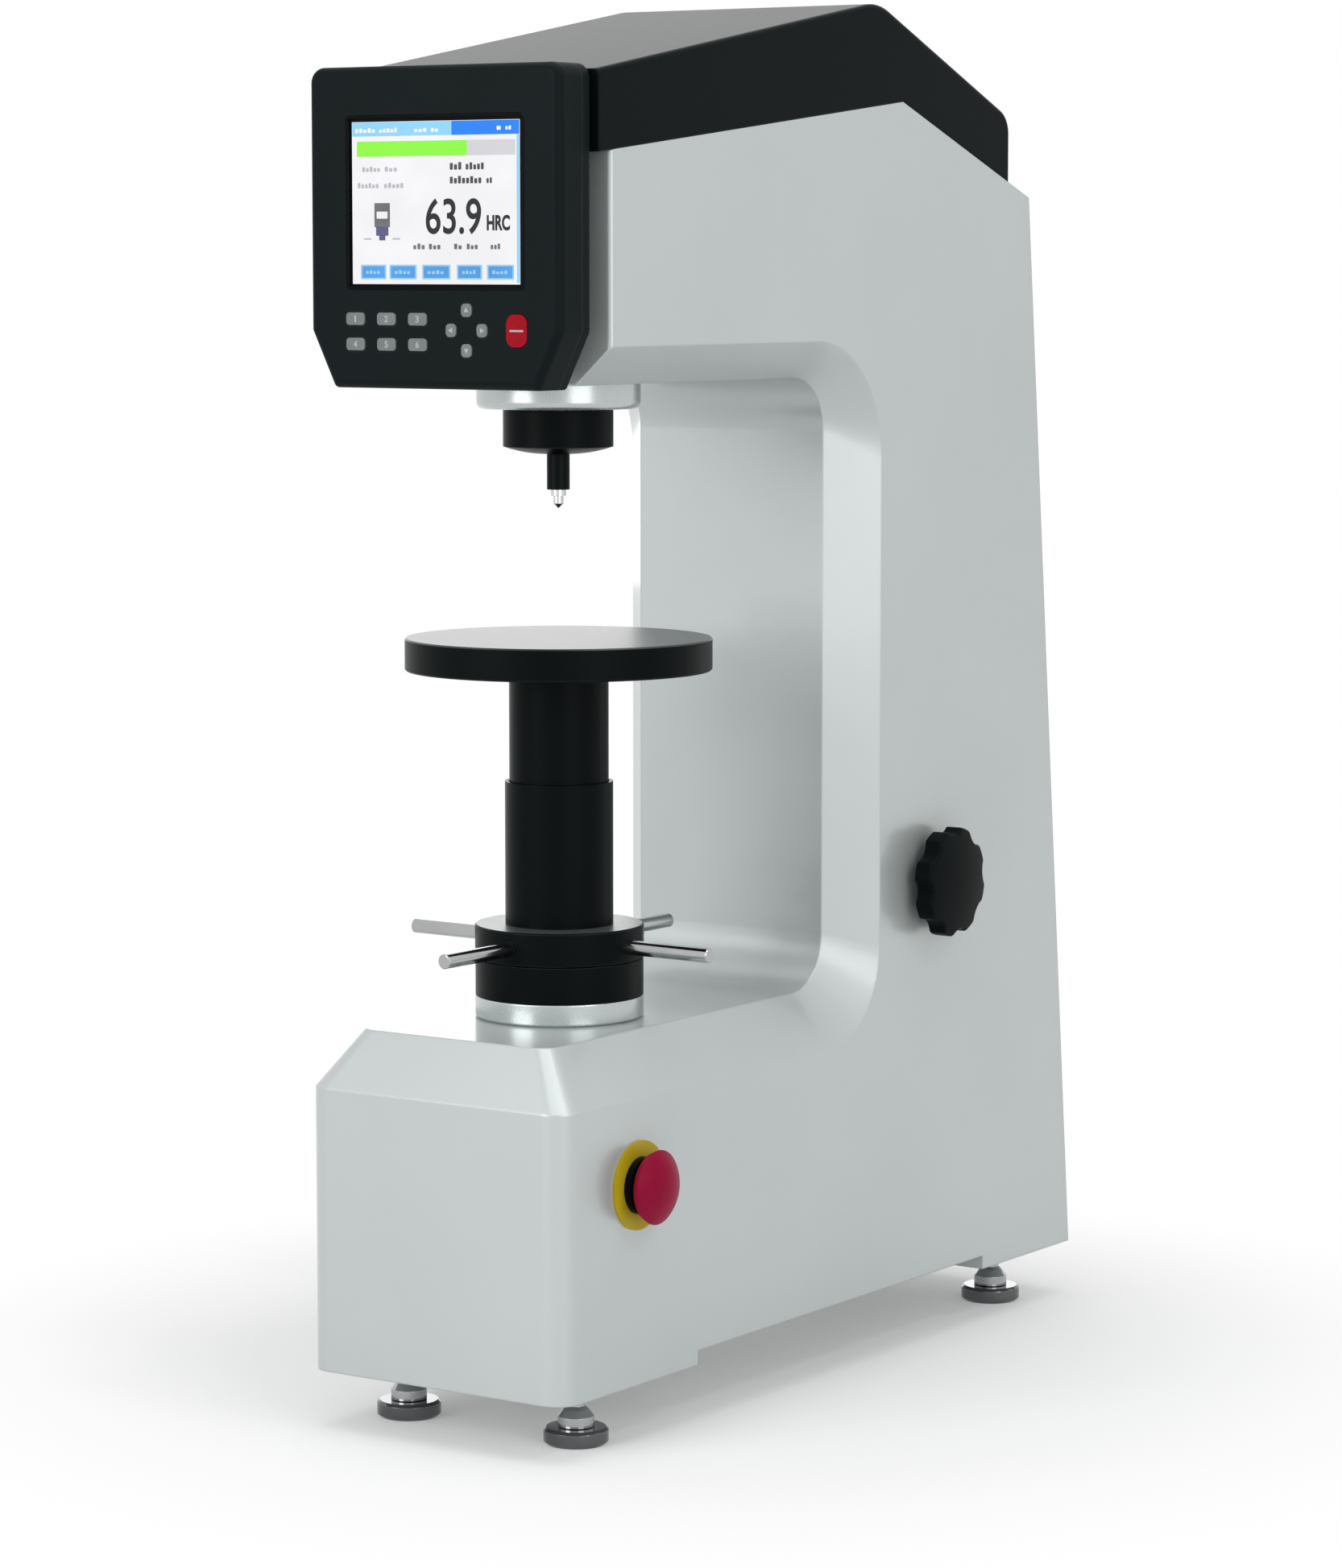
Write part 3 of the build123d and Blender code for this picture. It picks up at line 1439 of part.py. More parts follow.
# Rocker: a round body about its pivot, cut by the two halves of its dished top
with BuildPart() as power_rocker:
    valley = rocker_pivot_depth - rocker_valley_depth
    low_slope = math.tan(math.radians(rocker_tilt + rocker_valley_angle))
    high_slope = math.tan(math.radians(rocker_tilt - rocker_valley_angle))
    beyond = 2 * rocker_radius
    with BuildSketch(rocker_plane(-rocker_width / 2)) as rocker_profile:
        Circle(rocker_radius)
        with BuildLine():
            Polyline(
                (-beyond, valley + beyond * low_slope),
                (0, valley),
                (beyond, valley - beyond * high_slope),
                (beyond, 2 * beyond),
                (-beyond, 2 * beyond),
                close=True,
            )
        make_face(mode=Mode.SUBTRACT)
    extrude(rocker_profile.sketch, amount=rocker_width)
    with BuildSketch(rocker_plane(-rocker_reach)) as rocker_pin:
        Circle(rocker_pin_radius)
    extrude(rocker_pin.sketch, amount=2 * rocker_reach)
finish(power_rocker, "power_rocker")

# Power supply on the bottom plate
with BuildPart() as power_supply:
    block(
        (-supply_size[0] / 2, supply_size[0] / 2),
        (supply_front, supply_front + supply_size[1]),
        (plate_top, plate_top + supply_size[2]),
    )
    fillet(power_supply.edges().filter_by(Axis.Z), radius=supply_corner_radius)
finish(power_supply, "power_supply")
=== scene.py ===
import math

import bmesh
import bpy
from mathutils import Matrix, Vector
from mathutils.bvhtree import BVHTree


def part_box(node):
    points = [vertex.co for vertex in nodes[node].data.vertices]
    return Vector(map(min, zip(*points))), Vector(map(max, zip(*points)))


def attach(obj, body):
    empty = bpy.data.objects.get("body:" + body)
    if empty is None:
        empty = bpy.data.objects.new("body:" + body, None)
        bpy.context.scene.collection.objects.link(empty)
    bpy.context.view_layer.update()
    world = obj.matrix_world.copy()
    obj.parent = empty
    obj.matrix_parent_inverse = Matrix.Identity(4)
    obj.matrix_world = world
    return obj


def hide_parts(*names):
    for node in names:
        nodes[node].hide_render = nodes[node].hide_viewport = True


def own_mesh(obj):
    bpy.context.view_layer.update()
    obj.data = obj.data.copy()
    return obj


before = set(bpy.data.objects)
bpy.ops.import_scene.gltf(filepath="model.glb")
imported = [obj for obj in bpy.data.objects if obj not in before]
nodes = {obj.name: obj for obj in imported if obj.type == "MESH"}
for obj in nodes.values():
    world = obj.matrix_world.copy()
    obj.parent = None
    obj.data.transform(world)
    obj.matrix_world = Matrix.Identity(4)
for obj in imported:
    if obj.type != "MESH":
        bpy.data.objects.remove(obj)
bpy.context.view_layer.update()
scene = bpy.context.scene

# Bench places are in millimetres, as the part's source has them: widths from the middle of the
# housing, depths from the front of the base, heights from the bench. Materials, meshes and the
# studio are in metres.
MID_X = -2.66988
FRONT_Y = -265.35
AXIS_DEPTH = 116.0


def at(width, depth, height):
    """Point in metres from a place on the bench in millimetres."""
    return Vector(((MID_X + width) / 1000, (FRONT_Y + depth) / 1000, height / 1000))


# Shader helpers

# Range in which nearly all of a noise texture's values lie
NOISE_LOW, NOISE_HIGH = 0.3, 0.7
NOISE_ROUGHNESS = 0.55
MOTTLE_DETAIL, GRAIN_DETAIL, GLOW_DETAIL = 4.0, 2.0, 2.0
GLOW_SCALE = 25.0
# Cosines between the face's normal and the rounded one, where the lighter edge begins and where it
# is full; the lighter edge is partly wear and partly a painted highlight
WEAR_AND_HIGHLIGHT_BEGINS, WEAR_AND_HIGHLIGHT_FULL = 0.99, 0.86
WEAR_AND_HIGHLIGHT_LEAST = 0.45
WEAR_AND_HIGHLIGHT_SCALE = 55.0
MARK_DEPTH = 0.00001


def link(tree, source, target):
    tree.links.new(source, target)


def new_material(name):
    material = bpy.data.materials.new(name)
    material.use_nodes = True
    tree = material.node_tree
    return material, tree, tree.nodes["Principled BSDF"]


def mapped(tree, texture, scale=(1, 1, 1), shift=(0, 0, 0)):
    """Place a texture by the object's own coordinates, in metres."""
    coords = tree.nodes.new("ShaderNodeTexCoord")
    mapping = tree.nodes.new("ShaderNodeMapping")
    mapping.inputs["Scale"].default_value = scale
    mapping.inputs["Location"].default_value = shift
    link(tree, coords.outputs["Object"], mapping.inputs["Vector"])
    link(tree, mapping.outputs["Vector"], texture.inputs["Vector"])


def noise(tree, scale, detail, stretch=(1, 1, 1)):
    texture = tree.nodes.new("ShaderNodeTexNoise")
    texture.inputs["Scale"].default_value = scale
    texture.inputs["Detail"].default_value = detail
    texture.inputs["Roughness"].default_value = NOISE_ROUGHNESS
    mapped(tree, texture, scale=stretch)
    return texture.outputs["Fac"]


def tint(colour, share):
    """A darker or lighter shade of a colour."""
    return tuple(channel * share for channel in colour)


def mottled(tree, scale, detail, low, high):
    """Colour that wanders between two over the surface."""
    node = tree.nodes.new("ShaderNodeValToRGB")
    places = (NOISE_LOW, NOISE_HIGH)
    for element, place, colour in zip(node.color_ramp.elements, places, (low, high)):
        element.position = place
        element.color = (*colour, 1.0)
    link(tree, noise(tree, scale, detail), node.inputs["Fac"])
    return node.outputs["Color"]


def spread(tree, factor, low, high):
    """Value between two limits, from the usual range of a texture."""
    node = tree.nodes.new("ShaderNodeMapRange")
    node.inputs["From Min"].default_value = NOISE_LOW
    node.inputs["From Max"].default_value = NOISE_HIGH
    node.inputs["To Min"].default_value = low
    node.inputs["To Max"].default_value = high
    link(tree, factor, node.inputs["Value"])
    return node.outputs["Result"]


def combine(tree, operation, first, second):
    node = tree.nodes.new("ShaderNodeMath")
    node.operation = operation
    link(tree, first, node.inputs[0])
    link(tree, second, node.inputs[1])
    return node.outputs["Value"]


def rounded_normal(tree, radius, samples):
    node = tree.nodes.new("ShaderNodeBevel")
    node.samples = samples
    node.inputs["Radius"].default_value = radius
    return node.outputs["Normal"]


def bump(tree, height, distance, strength, soft_edge=0.0):
    """Relief from a height, over normals that are rounded at the edges."""
    node = tree.nodes.new("ShaderNodeBump")
    node.inputs["Distance"].default_value = distance
    node.inputs["Strength"].default_value = strength
    link(tree, height, node.inputs["Height"])
    if soft_edge:
        link(tree, rounded_normal(tree, soft_edge, samples=8), node.inputs["Normal"])
    return node.outputs["Normal"]


def worn_edges(tree, base, radius, colour):
    """Base colour that turns to a lighter one along the edges, broken up by noise: partly wear,
    partly a painted highlight on the edges.
    """
    geometry = tree.nodes.new("ShaderNodeNewGeometry")
    turned = tree.nodes.new("ShaderNodeVectorMath")
    turned.operation = "DOT_PRODUCT"
    link(tree, rounded_normal(tree, radius, samples=6), turned.inputs[0])
    link(tree, geometry.outputs["Normal"], turned.inputs[1])
    edge = tree.nodes.new("ShaderNodeMapRange")
    edge.inputs["From Min"].default_value = WEAR_AND_HIGHLIGHT_BEGINS
    edge.inputs["From Max"].default_value = WEAR_AND_HIGHLIGHT_FULL
    link(tree, turned.outputs["Value"], edge.inputs["Value"])
    patches = spread(tree, noise(tree, WEAR_AND_HIGHLIGHT_SCALE, MOTTLE_DETAIL), WEAR_AND_HIGHLIGHT_LEAST, 1.0)
    blend = tree.nodes.new("ShaderNodeMix")
    blend.data_type = "RGBA"
    share = combine(tree, "MULTIPLY", edge.outputs["Result"], patches)
    link(tree, share, blend.inputs["Factor"])
    link(tree, base, blend.inputs["A"])
    blend.inputs["B"].default_value = (*colour, 1.0)
    return blend.outputs["Result"]


# Finishes
def surface(
    name,
    colour,
    rough,
    mottle,
    mottle_scale,
    grain_scale,
    grain_depth=0.00002,
    grain_strength=0.25,
    stretch=(1, 1, 1),
    soft_edge=0.0,
    metallic=0.0,
    specular=0.5,
    coat=0.0,
    coat_rough=0.1,
    wear_and_highlight=None,
    wear_and_highlight_radius=0.0,
):
    """A finish whose colour, gloss and relief vary over the surface."""
    material, tree, shader = new_material(name)
    dark, light = tint(colour, 1 - mottle), tint(colour, 1 + mottle)
    base = mottled(tree, mottle_scale, MOTTLE_DETAIL, dark, light)
    # Lighter edges: partly wear, partly a painted highlight along the edges
    if wear_and_highlight:
        base = worn_edges(tree, base, wear_and_highlight_radius, wear_and_highlight)
    link(tree, base, shader.inputs["Base Color"])
    grain = noise(tree, grain_scale, GRAIN_DETAIL, stretch)
    link(tree, spread(tree, grain, *rough), shader.inputs["Roughness"])
    relief = bump(tree, grain, grain_depth, grain_strength, soft_edge)
    link(tree, relief, shader.inputs["Normal"])
    shader.inputs["Metallic"].default_value = metallic
    shader.inputs["Specular IOR Level"].default_value = specular
    shader.inputs["Coat Weight"].default_value = coat
    shader.inputs["Coat Roughness"].default_value = coat_rough
    return material


def turned_metal(name, colour, rough, pitch, metallic, mark_strength):
    """Metal with fine turning marks round the test axis."""
    material, tree, shader = new_material(name)
    rings = tree.nodes.new("ShaderNodeTexWave")
    rings.wave_type = "RINGS"
    rings.rings_direction = "Z"
    rings.inputs["Scale"].default_value = 1 / pitch
    rings.inputs["Distortion"].default_value = 1.2
    rings.inputs["Detail"].default_value = 2.0
    rings.inputs["Detail Scale"].default_value = 2.0
    centre = at(0, AXIS_DEPTH, 0)
    mapped(tree, rings, shift=(-centre.x, -centre.y, 0))
    marks = rings.outputs["Fac"]
    base = mottled(tree, 14.0, MOTTLE_DETAIL, tint(colour, 0.9), tint(colour, 1.08))
    link(tree, base, shader.inputs["Base Color"])
    link(tree, spread(tree, marks, *rough), shader.inputs["Roughness"])
    link(tree, bump(tree, marks, MARK_DEPTH, mark_strength), shader.inputs["Normal"])
    shader.inputs["Metallic"].default_value = metallic
    return material


def lit(name, colour, mottle=0.03):
    """Part of the lit screen, with the faint unevenness of its backlight."""
    material, tree, shader = new_material(name)
    dark, light = tint(colour, 1 - mottle), tint(colour, 1 + mottle)
    glow = mottled(tree, GLOW_SCALE, GLOW_DETAIL, dark, light)
    link(tree, glow, shader.inputs["Emission Color"])
    shader.inputs["Emission Strength"].default_value = 1.0
    shader.inputs["Base Color"].default_value = (0.01, 0.01, 0.01, 1.0)
    shader.inputs["Specular IOR Level"].default_value = 0.15
    shader.inputs["Roughness"].default_value = 0.35
    return material


SILVER = (0.49, 0.532, 0.526)
BLACK = (0.0017, 0.0033, 0.0037)

lacquer = surface(
    "silver_lacquer", SILVER, (0.3, 0.4), mottle=0.03, mottle_scale=5.0, grain_scale=2600.0,
    grain_depth=0.000015, grain_strength=0.3, soft_edge=0.0016, metallic=0.35, coat=0.45,
    coat_rough=0.09,
)
lacquer_ring = surface(
    "silver_ring", SILVER, (0.2, 0.3), mottle=0.03, mottle_scale=7.0, grain_scale=2600.0,
    grain_depth=0.00001, soft_edge=0.0012, metallic=0.75, coat=0.3, coat_rough=0.12,
)
# The console, hood, ring and knob blacks get lighter edges: partly wear, partly a painted
# highlight along the edges
console_black = surface(
    "console_black", (0.0050, 0.0084, 0.0092), (0.42, 0.52), mottle=0.12, mottle_scale=12.0,
    grain_scale=3200.0, grain_depth=0.00003, grain_strength=0.35, soft_edge=0.0012,
    specular=0.05, wear_and_highlight=(0.026, 0.034, 0.036), wear_and_highlight_radius=0.0018,
)
hood_black = surface(
    "hood_black", (0.0028, 0.0052, 0.0058), (0.26, 0.36), mottle=0.08, mottle_scale=6.0,
    grain_scale=2800.0, grain_strength=0.2, soft_edge=0.002, specular=0.035,
    wear_and_highlight=(0.016, 0.022, 0.024), wear_and_highlight_radius=0.0012,
)
ring_black = surface(
    "ring_black", BLACK, (0.3, 0.4), mottle=0.12, mottle_scale=20.0, grain_scale=1500.0,
    grain_depth=0.00001, stretch=(1, 1, 12), soft_edge=0.0007, specular=0.05,
    wear_and_highlight=(0.05, 0.056, 0.058), wear_and_highlight_radius=0.0006,
)
sleeve_black = surface(
    "sleeve_black", tint(BLACK, 1.1), (0.26, 0.36), mottle=0.1, mottle_scale=20.0,
    grain_scale=900.0, grain_depth=0.00001, stretch=(1, 1, 10), soft_edge=0.0005, specular=0.05,
)
spindle_black = surface(
    "spindle_black", tint(BLACK, 1.2), (0.24, 0.34), mottle=0.12, mottle_scale=60.0,
    grain_scale=1500.0, stretch=(1, 1, 10), soft_edge=0.0003, specular=0.06,
)
# Lighter edges here too: partly wear, partly a painted highlight
knob_black = surface(
    "knob_black", (0.0024, 0.0042, 0.0046), (0.36, 0.48), mottle=0.12, mottle_scale=25.0,
    grain_scale=2400.0, grain_depth=0.00003, grain_strength=0.35, soft_edge=0.001,
    specular=0.04, wear_and_highlight=(0.014, 0.018, 0.019), wear_and_highlight_radius=0.001,
)
chrome = surface(
    "chrome", (0.42, 0.43, 0.435), (0.08, 0.15), mottle=0.05, mottle_scale=40.0,
    grain_scale=1600.0, grain_depth=0.000005, grain_strength=0.15, soft_edge=0.0004,
    metallic=1.0,
)
# Chrome of the foot pads, darker than the other chrome: painted shade for the dark underside and
# shadowed floor that the pads reflect
foot_chrome = surface(
    "foot_chrome", (0.14, 0.145, 0.15), (0.06, 0.13), mottle=0.08, mottle_scale=50.0,
    grain_scale=1800.0, grain_depth=0.000008, grain_strength=0.2, soft_edge=0.0005,
    metallic=1.0,
)
steel = surface(
    "machined_steel", (0.42, 0.42, 0.43), (0.25, 0.38), mottle=0.08, mottle_scale=30.0,
    grain_scale=900.0, stretch=(1, 1, 8), soft_edge=0.0003, metallic=1.0,
)
bright_steel = surface(
    "ground_steel", (0.62, 0.62, 0.63), (0.16, 0.26), mottle=0.05, mottle_scale=60.0,
    grain_scale=1500.0, grain_strength=0.2, stretch=(1, 1, 8), soft_edge=0.0002, metallic=1.0,
)
brass = surface(
    "brass", (0.62, 0.44, 0.18), (0.24, 0.34), mottle=0.08, mottle_scale=30.0,
    grain_scale=900.0, stretch=(1, 1, 8), soft_edge=0.0004, metallic=1.0,
)
iron = surface(
    "cast_iron", (0.09, 0.095, 0.1), (0.5, 0.7), mottle=0.2, mottle_scale=40.0,
    grain_scale=700.0, grain_depth=0.0001, grain_strength=0.5, soft_edge=0.0008, metallic=0.2,
)
cast_grey = surface(
    "cast_aluminium", (0.36, 0.37, 0.38), (0.4, 0.55), mottle=0.08, mottle_scale=30.0,
    grain_scale=900.0, grain_depth=0.00005, grain_strength=0.4, soft_edge=0.0006, metallic=0.8,
)
moulded_black = surface(
    "moulded_black", (0.02, 0.02, 0.021), (0.45, 0.6), mottle=0.12, mottle_scale=30.0,
    grain_scale=2200.0, grain_depth=0.00003, grain_strength=0.4, soft_edge=0.0005,
)
rocker_black = surface(
    "rocker_black", (0.016, 0.016, 0.017), (0.22, 0.32), mottle=0.12, mottle_scale=40.0,
    grain_scale=2200.0, grain_strength=0.3, soft_edge=0.0005,
)
board_green = surface(
    "board_green", (0.02, 0.15, 0.06), (0.35, 0.5), mottle=0.1, mottle_scale=60.0,
    grain_scale=1200.0, grain_strength=0.3,
)
black_glass = surface(
    "screen_surround", (0.0015, 0.002, 0.0022), (0.2, 0.3), mottle=0.1, mottle_scale=30.0,
    grain_scale=1200.0, grain_depth=0.000003, grain_strength=0.1, specular=0.05,
)
key_grey = surface(
    "key_grey", (0.135, 0.155, 0.152), (0.4, 0.5), mottle=0.08, mottle_scale=120.0,
    grain_scale=2600.0, grain_strength=0.3, soft_edge=0.0006,
)
key_red = surface(
    "key_red", (0.33, 0.0025, 0.011), (0.34, 0.44), mottle=0.12, mottle_scale=120.0,
    grain_scale=2600.0, soft_edge=0.0006, specular=0.07,
)
legend = surface(
    "key_legend", (0.38, 0.41, 0.41), (0.4, 0.5), mottle=0.06, mottle_scale=300.0,
    grain_scale=3000.0, grain_strength=0.2,
)
stop_yellow = surface(
    "stop_yellow", (0.50, 0.375, 0.010), (0.35, 0.45), mottle=0.08, mottle_scale=40.0,
    grain_scale=2200.0, grain_strength=0.3, soft_edge=0.0004, specular=0.15,
)
stop_red = surface(
    "stop_red", (0.265, 0.002, 0.032), (0.36, 0.46), mottle=0.1, mottle_scale=30.0,
    grain_scale=1800.0, soft_edge=0.001, specular=0.09,
)
# Near-black for the screws' hexagon sockets: painted shade of a recess that is not modelled
socket_painted_shade = surface(
    "socket_painted_shade", (0.012, 0.012, 0.013), (0.5, 0.6), mottle=0.2, mottle_scale=200.0,
    grain_scale=2000.0, grain_strength=0.3,
)
table_top = turned_metal(
    "table_ground", (0.022, 0.025, 0.026), (0.28, 0.4), pitch=0.0011, metallic=0.2,
    mark_strength=0.15,
)
hub_top = turned_metal(
    "hub_ground", (0.16, 0.17, 0.17), (0.3, 0.4), pitch=0.0008, metallic=0.6,
    mark_strength=0.2,
)

FINISHES = {
    lacquer: ["housing", "rear_cover", "bottom_plate"],
    lacquer_ring: ["column_collar", "head_boss"],
    console_black: ["console_bezel", "console_back"],
    hood_black: ["hood"],
    ring_black: ["bearing_ring", "nose_ring", "handwheel_hub", "test_table"],
    sleeve_black: ["lower_sleeve", "upper_sleeve"],
    spindle_black: ["spindle", "stop_collar"],
    knob_black: ["star_knob"],
    chrome: ["handle_rods", "foot_studs"],
    foot_chrome: [
        f"foot_pad_{end}_{side}" for end in ("front", "rear") for side in ("left", "right")
    ],
    steel: [
        "preload_spring", "lifting_screw", "thrust_bearing", "weight_hanger", "drive_cam",
        "selector_shaft", "foot_jam_nuts", "stop_plunger", "cover_screws",
    ],
    bright_steel: ["indenter"],
    brass: ["lift_nut", "spindle_bush"],
    iron: ["screw_guide", "fulcrum_bracket", "main_lever", "load_weights"],
    cast_grey: ["drive_motor", "power_supply"],
    moulded_black: ["depth_sensor", "stop_block", "power_inlet"],
    rocker_black: ["power_rocker"],
    board_green: ["key_board"],
    black_glass: ["display_module"],
    key_grey: [
        *[f"function_key_{number}" for number in range(1, 7)],
        *[f"arrow_key_{way}" for way in ("up", "down", "left", "right")],
    ],
    key_red: ["red_key"],
    stop_yellow: ["stop_ring"],
    stop_red: ["stop_cap"],
}
for finish, names in FINISHES.items():
    for name in names:
        materials = nodes[name].data.materials
        materials.clear()
        materials.append(finish)


def finish_top(node, material, least_up, skin):
    """Another finish for the faces that look up in a thin skin under a node's top."""
    mesh = nodes[node].data
    mesh.materials.append(material)
    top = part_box(node)[1].z
    for face in mesh.polygons:
        if face.normal.z > least_up and face.center.z > top - skin:
            face.material_index = 1


# The ground top of the test table with its edge, and the bare face of the handwheel hub
finish_top("test_table", table_top, 0.6, 0.0012)
finish_top("handwheel_hub", hub_top, 0.9, 0.0005)


# Mesh helpers
def add_piece(name, mesh, material, body):
    mesh.materials.clear()
    mesh.materials.append(material)
    piece = bpy.data.objects.new(name, mesh)
    scene.collection.objects.link(piece)
    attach(piece, body)
    return piece


def add_mesh(name, verts, faces, material, body, slot, smooth=False):
    mesh = bpy.data.meshes.new(name)
    mesh.from_pydata([tuple(v) for v in verts], [], faces)
    mesh.validate()
    build = bmesh.new()
    build.from_mesh(mesh)
    bmesh.ops.recalc_face_normals(build, faces=build.faces)
    build.to_mesh(mesh)
    build.free()
    for face in mesh.polygons:
        face.use_smooth = smooth
    return add_piece(name, mesh, material, body)


def bands(count, rows):
    """Faces that join closed rows of points, each row to the next."""
    faces = []
    for low in range(0, (rows - 1) * count, count):
        for i in range(count):
            j = (i + 1) % count
            faces.append((low + i, low + j, low + count + j, low + count + i))
    return faces


def circle(radius, sides, start=0.0, wide=1.0):
    """Corners of a regular outline, drawn in or out in width by a share."""
    angles = [math.radians(start) + 2 * math.pi * side / sides for side in range(sides)]
    return [(wide * radius * math.cos(a), radius * math.sin(a)) for a in angles]


def oblong(half_wide, half_high):
    """Corners of a rectangle round its middle."""
    return [(sx * half_wide, sy * half_high) for sx, sy in ((-1, -1), (1, -1), (1, 1), (-1, 1))]


def rounded_outline(wide, high, radius, segments):
    """Points round a rectangle with rounded corners, in its own plane."""
    points = []
    for corner, (sx, sy) in enumerate(((1, 1), (-1, 1), (-1, -1), (1, -1))):
        for step in range(segments + 1):
            angle = math.radians(90 * corner + 90 * step / segments)
            points.append((
                sx * (wide / 2 - radius) + radius * math.cos(angle),
                sy * (high / 2 - radius) + radius * math.sin(angle),
            ))
    return points


def panel(wide, high, thick, radius, segments):
    """Rounded tile lying in its own X and Y, from Z 0 to its thickness, with a sloped lip."""
    radius = min(radius, wide / 2 - 1e-6, high / 2 - 1e-6)
    ring = rounded_outline(wide, high, radius, segments)
    count = len(ring)
    lip = min(radius, thick) / 2
    inner = 1 - 2 * lip / min(wide, high)
    verts = [(x, y, 0.0) for x, y in ring]
    verts += [(x, y, thick - lip) for x, y in ring]
    verts += [(x * inner, y * inner, thick) for x, y in ring]
    back, front = tuple(reversed(range(count))), tuple(range(2 * count, 3 * count))
    return verts, [back, *bands(count, 3), front]


# The screen: a lit page behind the window of the console. What it shows is placed by columns
# and rows of the photo, between the edges that the lit page has there.
SCREEN_FACE = 5.4
SCREEN_MID = 1.3
SCREEN_LOW = 613.0
SCREEN_WIDE = 112.2
SCREEN_HIGH = 87.0
LIT_SHARE = 0.965
LIT_FOOT = 0.015
PHOTO_LEFT, PHOTO_RIGHT = 432.5, 645.5
PHOTO_TOP, PHOTO_BOTTOM = 147.0, 355.0
# How far the layers stand off the glass
PAGE_LIFT, TILE_LIFT, UPPER_LIFT, PRINT_LIFT = 0.05, 0.12, 0.2, 0.28
TILE_THICK = 0.00008
TILE_CORNER = 0.0004


def screen_x(column):
    """Width on the bench from a column of the photo's screen."""
    share = (column - PHOTO_LEFT) / (PHOTO_RIGHT - PHOTO_LEFT)
    return SCREEN_MID + (share - 0.5) * SCREEN_WIDE * LIT_SHARE


def screen_z(row):
    """Height on the bench from a row of the photo's screen."""
    share = (PHOTO_BOTTOM - row) / (PHOTO_BOTTOM - PHOTO_TOP)
    return SCREEN_LOW + SCREEN_HIGH * (LIT_FOOT + LIT_SHARE * share)


def screen_tile(left, right, top, bottom, lift, segments):
    """Vertices and faces of a tile on the screen."""
    x0, x1 = screen_x(left), screen_x(right)
    z0, z1 = screen_z(bottom), screen_z(top)
    wide, high = (x1 - x0) / 1000, (z1 - z0) / 1000
    verts, faces = panel(wide, high, TILE_THICK, TILE_CORNER, segments)
    place = Matrix.Translation(at((x0 + x1) / 2, SCREEN_FACE - lift, (z0 + z1) / 2))
    upright = place @ Matrix.Rotation(math.radians(90), 4, "X")
    return [upright @ Vector(v) for v in verts], faces


page = lit("screen_page", (0.90, 0.90, 0.92), 0.05)
sky = lit("screen_sky", (0.28, 0.66, 0.95))
blue = lit("screen_blue", (0.008, 0.225, 0.93))
button_blue = lit("screen_button", (0.085, 0.36, 0.83), 0.12)
button_edge = lit("screen_button_edge", (0.32, 0.62, 0.90))
green = lit("screen_green", (0.27, 0.94, 0.05))
track = lit("screen_track", (0.66, 0.66, 0.69))
ink = lit("screen_ink", (0.010, 0.012, 0.016))
dark_ink = lit("screen_dark", (0.085, 0.085, 0.10), 0.3)
grey_ink = lit("screen_grey", (0.19, 0.19, 0.21), 0.25)
pale_ink = lit("screen_pale", (0.50, 0.49, 0.56), 0.12)
indigo = lit("screen_indigo", (0.11, 0.10, 0.24))
glow_white = lit("screen_white", (0.90, 0.94, 0.97))

BUTTONS = ((444, 475), (481, 514), (523, 557), (567, 597), (605, 637))
TILES = [
    ("page", 432.5, 645.5, 147, 355, PAGE_LIFT, page),
    ("header_light", 433, 560, 147.5, 165.5, TILE_LIFT, sky),
    ("header_deep", 560, 645, 147.5, 165.5, TILE_LIFT, blue),
    ("edge_strip", 641.5, 645.3, 166, 353, TILE_LIFT, sky),
    ("track", 439, 640, 172, 191.5, TILE_LIFT, track),
    ("progress", 439, 579.5, 172, 191.5, UPPER_LIFT, green),
    ("icon_top", 461, 481, 251, 282, TILE_LIFT, grey_ink),
    ("icon_band", 464, 478, 262, 271, UPPER_LIFT, page),
    ("icon_low", 463, 479, 281, 293, TILE_LIFT, indigo),
    ("icon_tip", 467, 475, 292, 299, TILE_LIFT, indigo),
    ("icon_ground", 447, 457, 296, 298, TILE_LIFT, pale_ink),
    ("icon_ground_2", 484, 494, 296, 298, TILE_LIFT, pale_ink),
]
for left, right in BUTTONS:
    TILES += [
        (f"button_edge_{left}", left - 1, right + 1, 330, 349, TILE_LIFT, button_edge),
        (f"button_{left}", left + 1, right - 1, 332, 347, UPPER_LIFT, button_blue),
    ]
for name, left, right, top, bottom, lift, look in TILES:
    tile = screen_tile(left, right, top, bottom, lift, segments=5)
    add_mesh(f"screen_{name}", *tile, look, "frame", "display_glass")

# Lines of small print, as rows of marks of uneven height
MARK_HEIGHTS = (8.4, 6.2, 6.2, 8.0, 5.6, 6.4, 7.6, 6.0)
MARK_WIDE = 3.6
MARK_STEP = 5.0


def print_line(name, words, row, share, look):
    """Row of marks for each word, over a base row, with a share of the full height."""
    verts, faces = [], []
    for left, right in words:
        count = max(1, round((right - left) / MARK_STEP))
        step = (right - left) / count
        for mark in range(count):
            start = left + mark * step
            end = start + step * MARK_WIDE / MARK_STEP
            top = row - share * MARK_HEIGHTS[(mark + left) % len(MARK_HEIGHTS)]
            tile, sides = screen_tile(start, end, top, row, PRINT_LIFT, segments=2)
            faces += [tuple(len(verts) + i for i in side) for side in sides]
            verts += tile
    add_mesh(name, verts, faces, look, "frame", "display_glass")


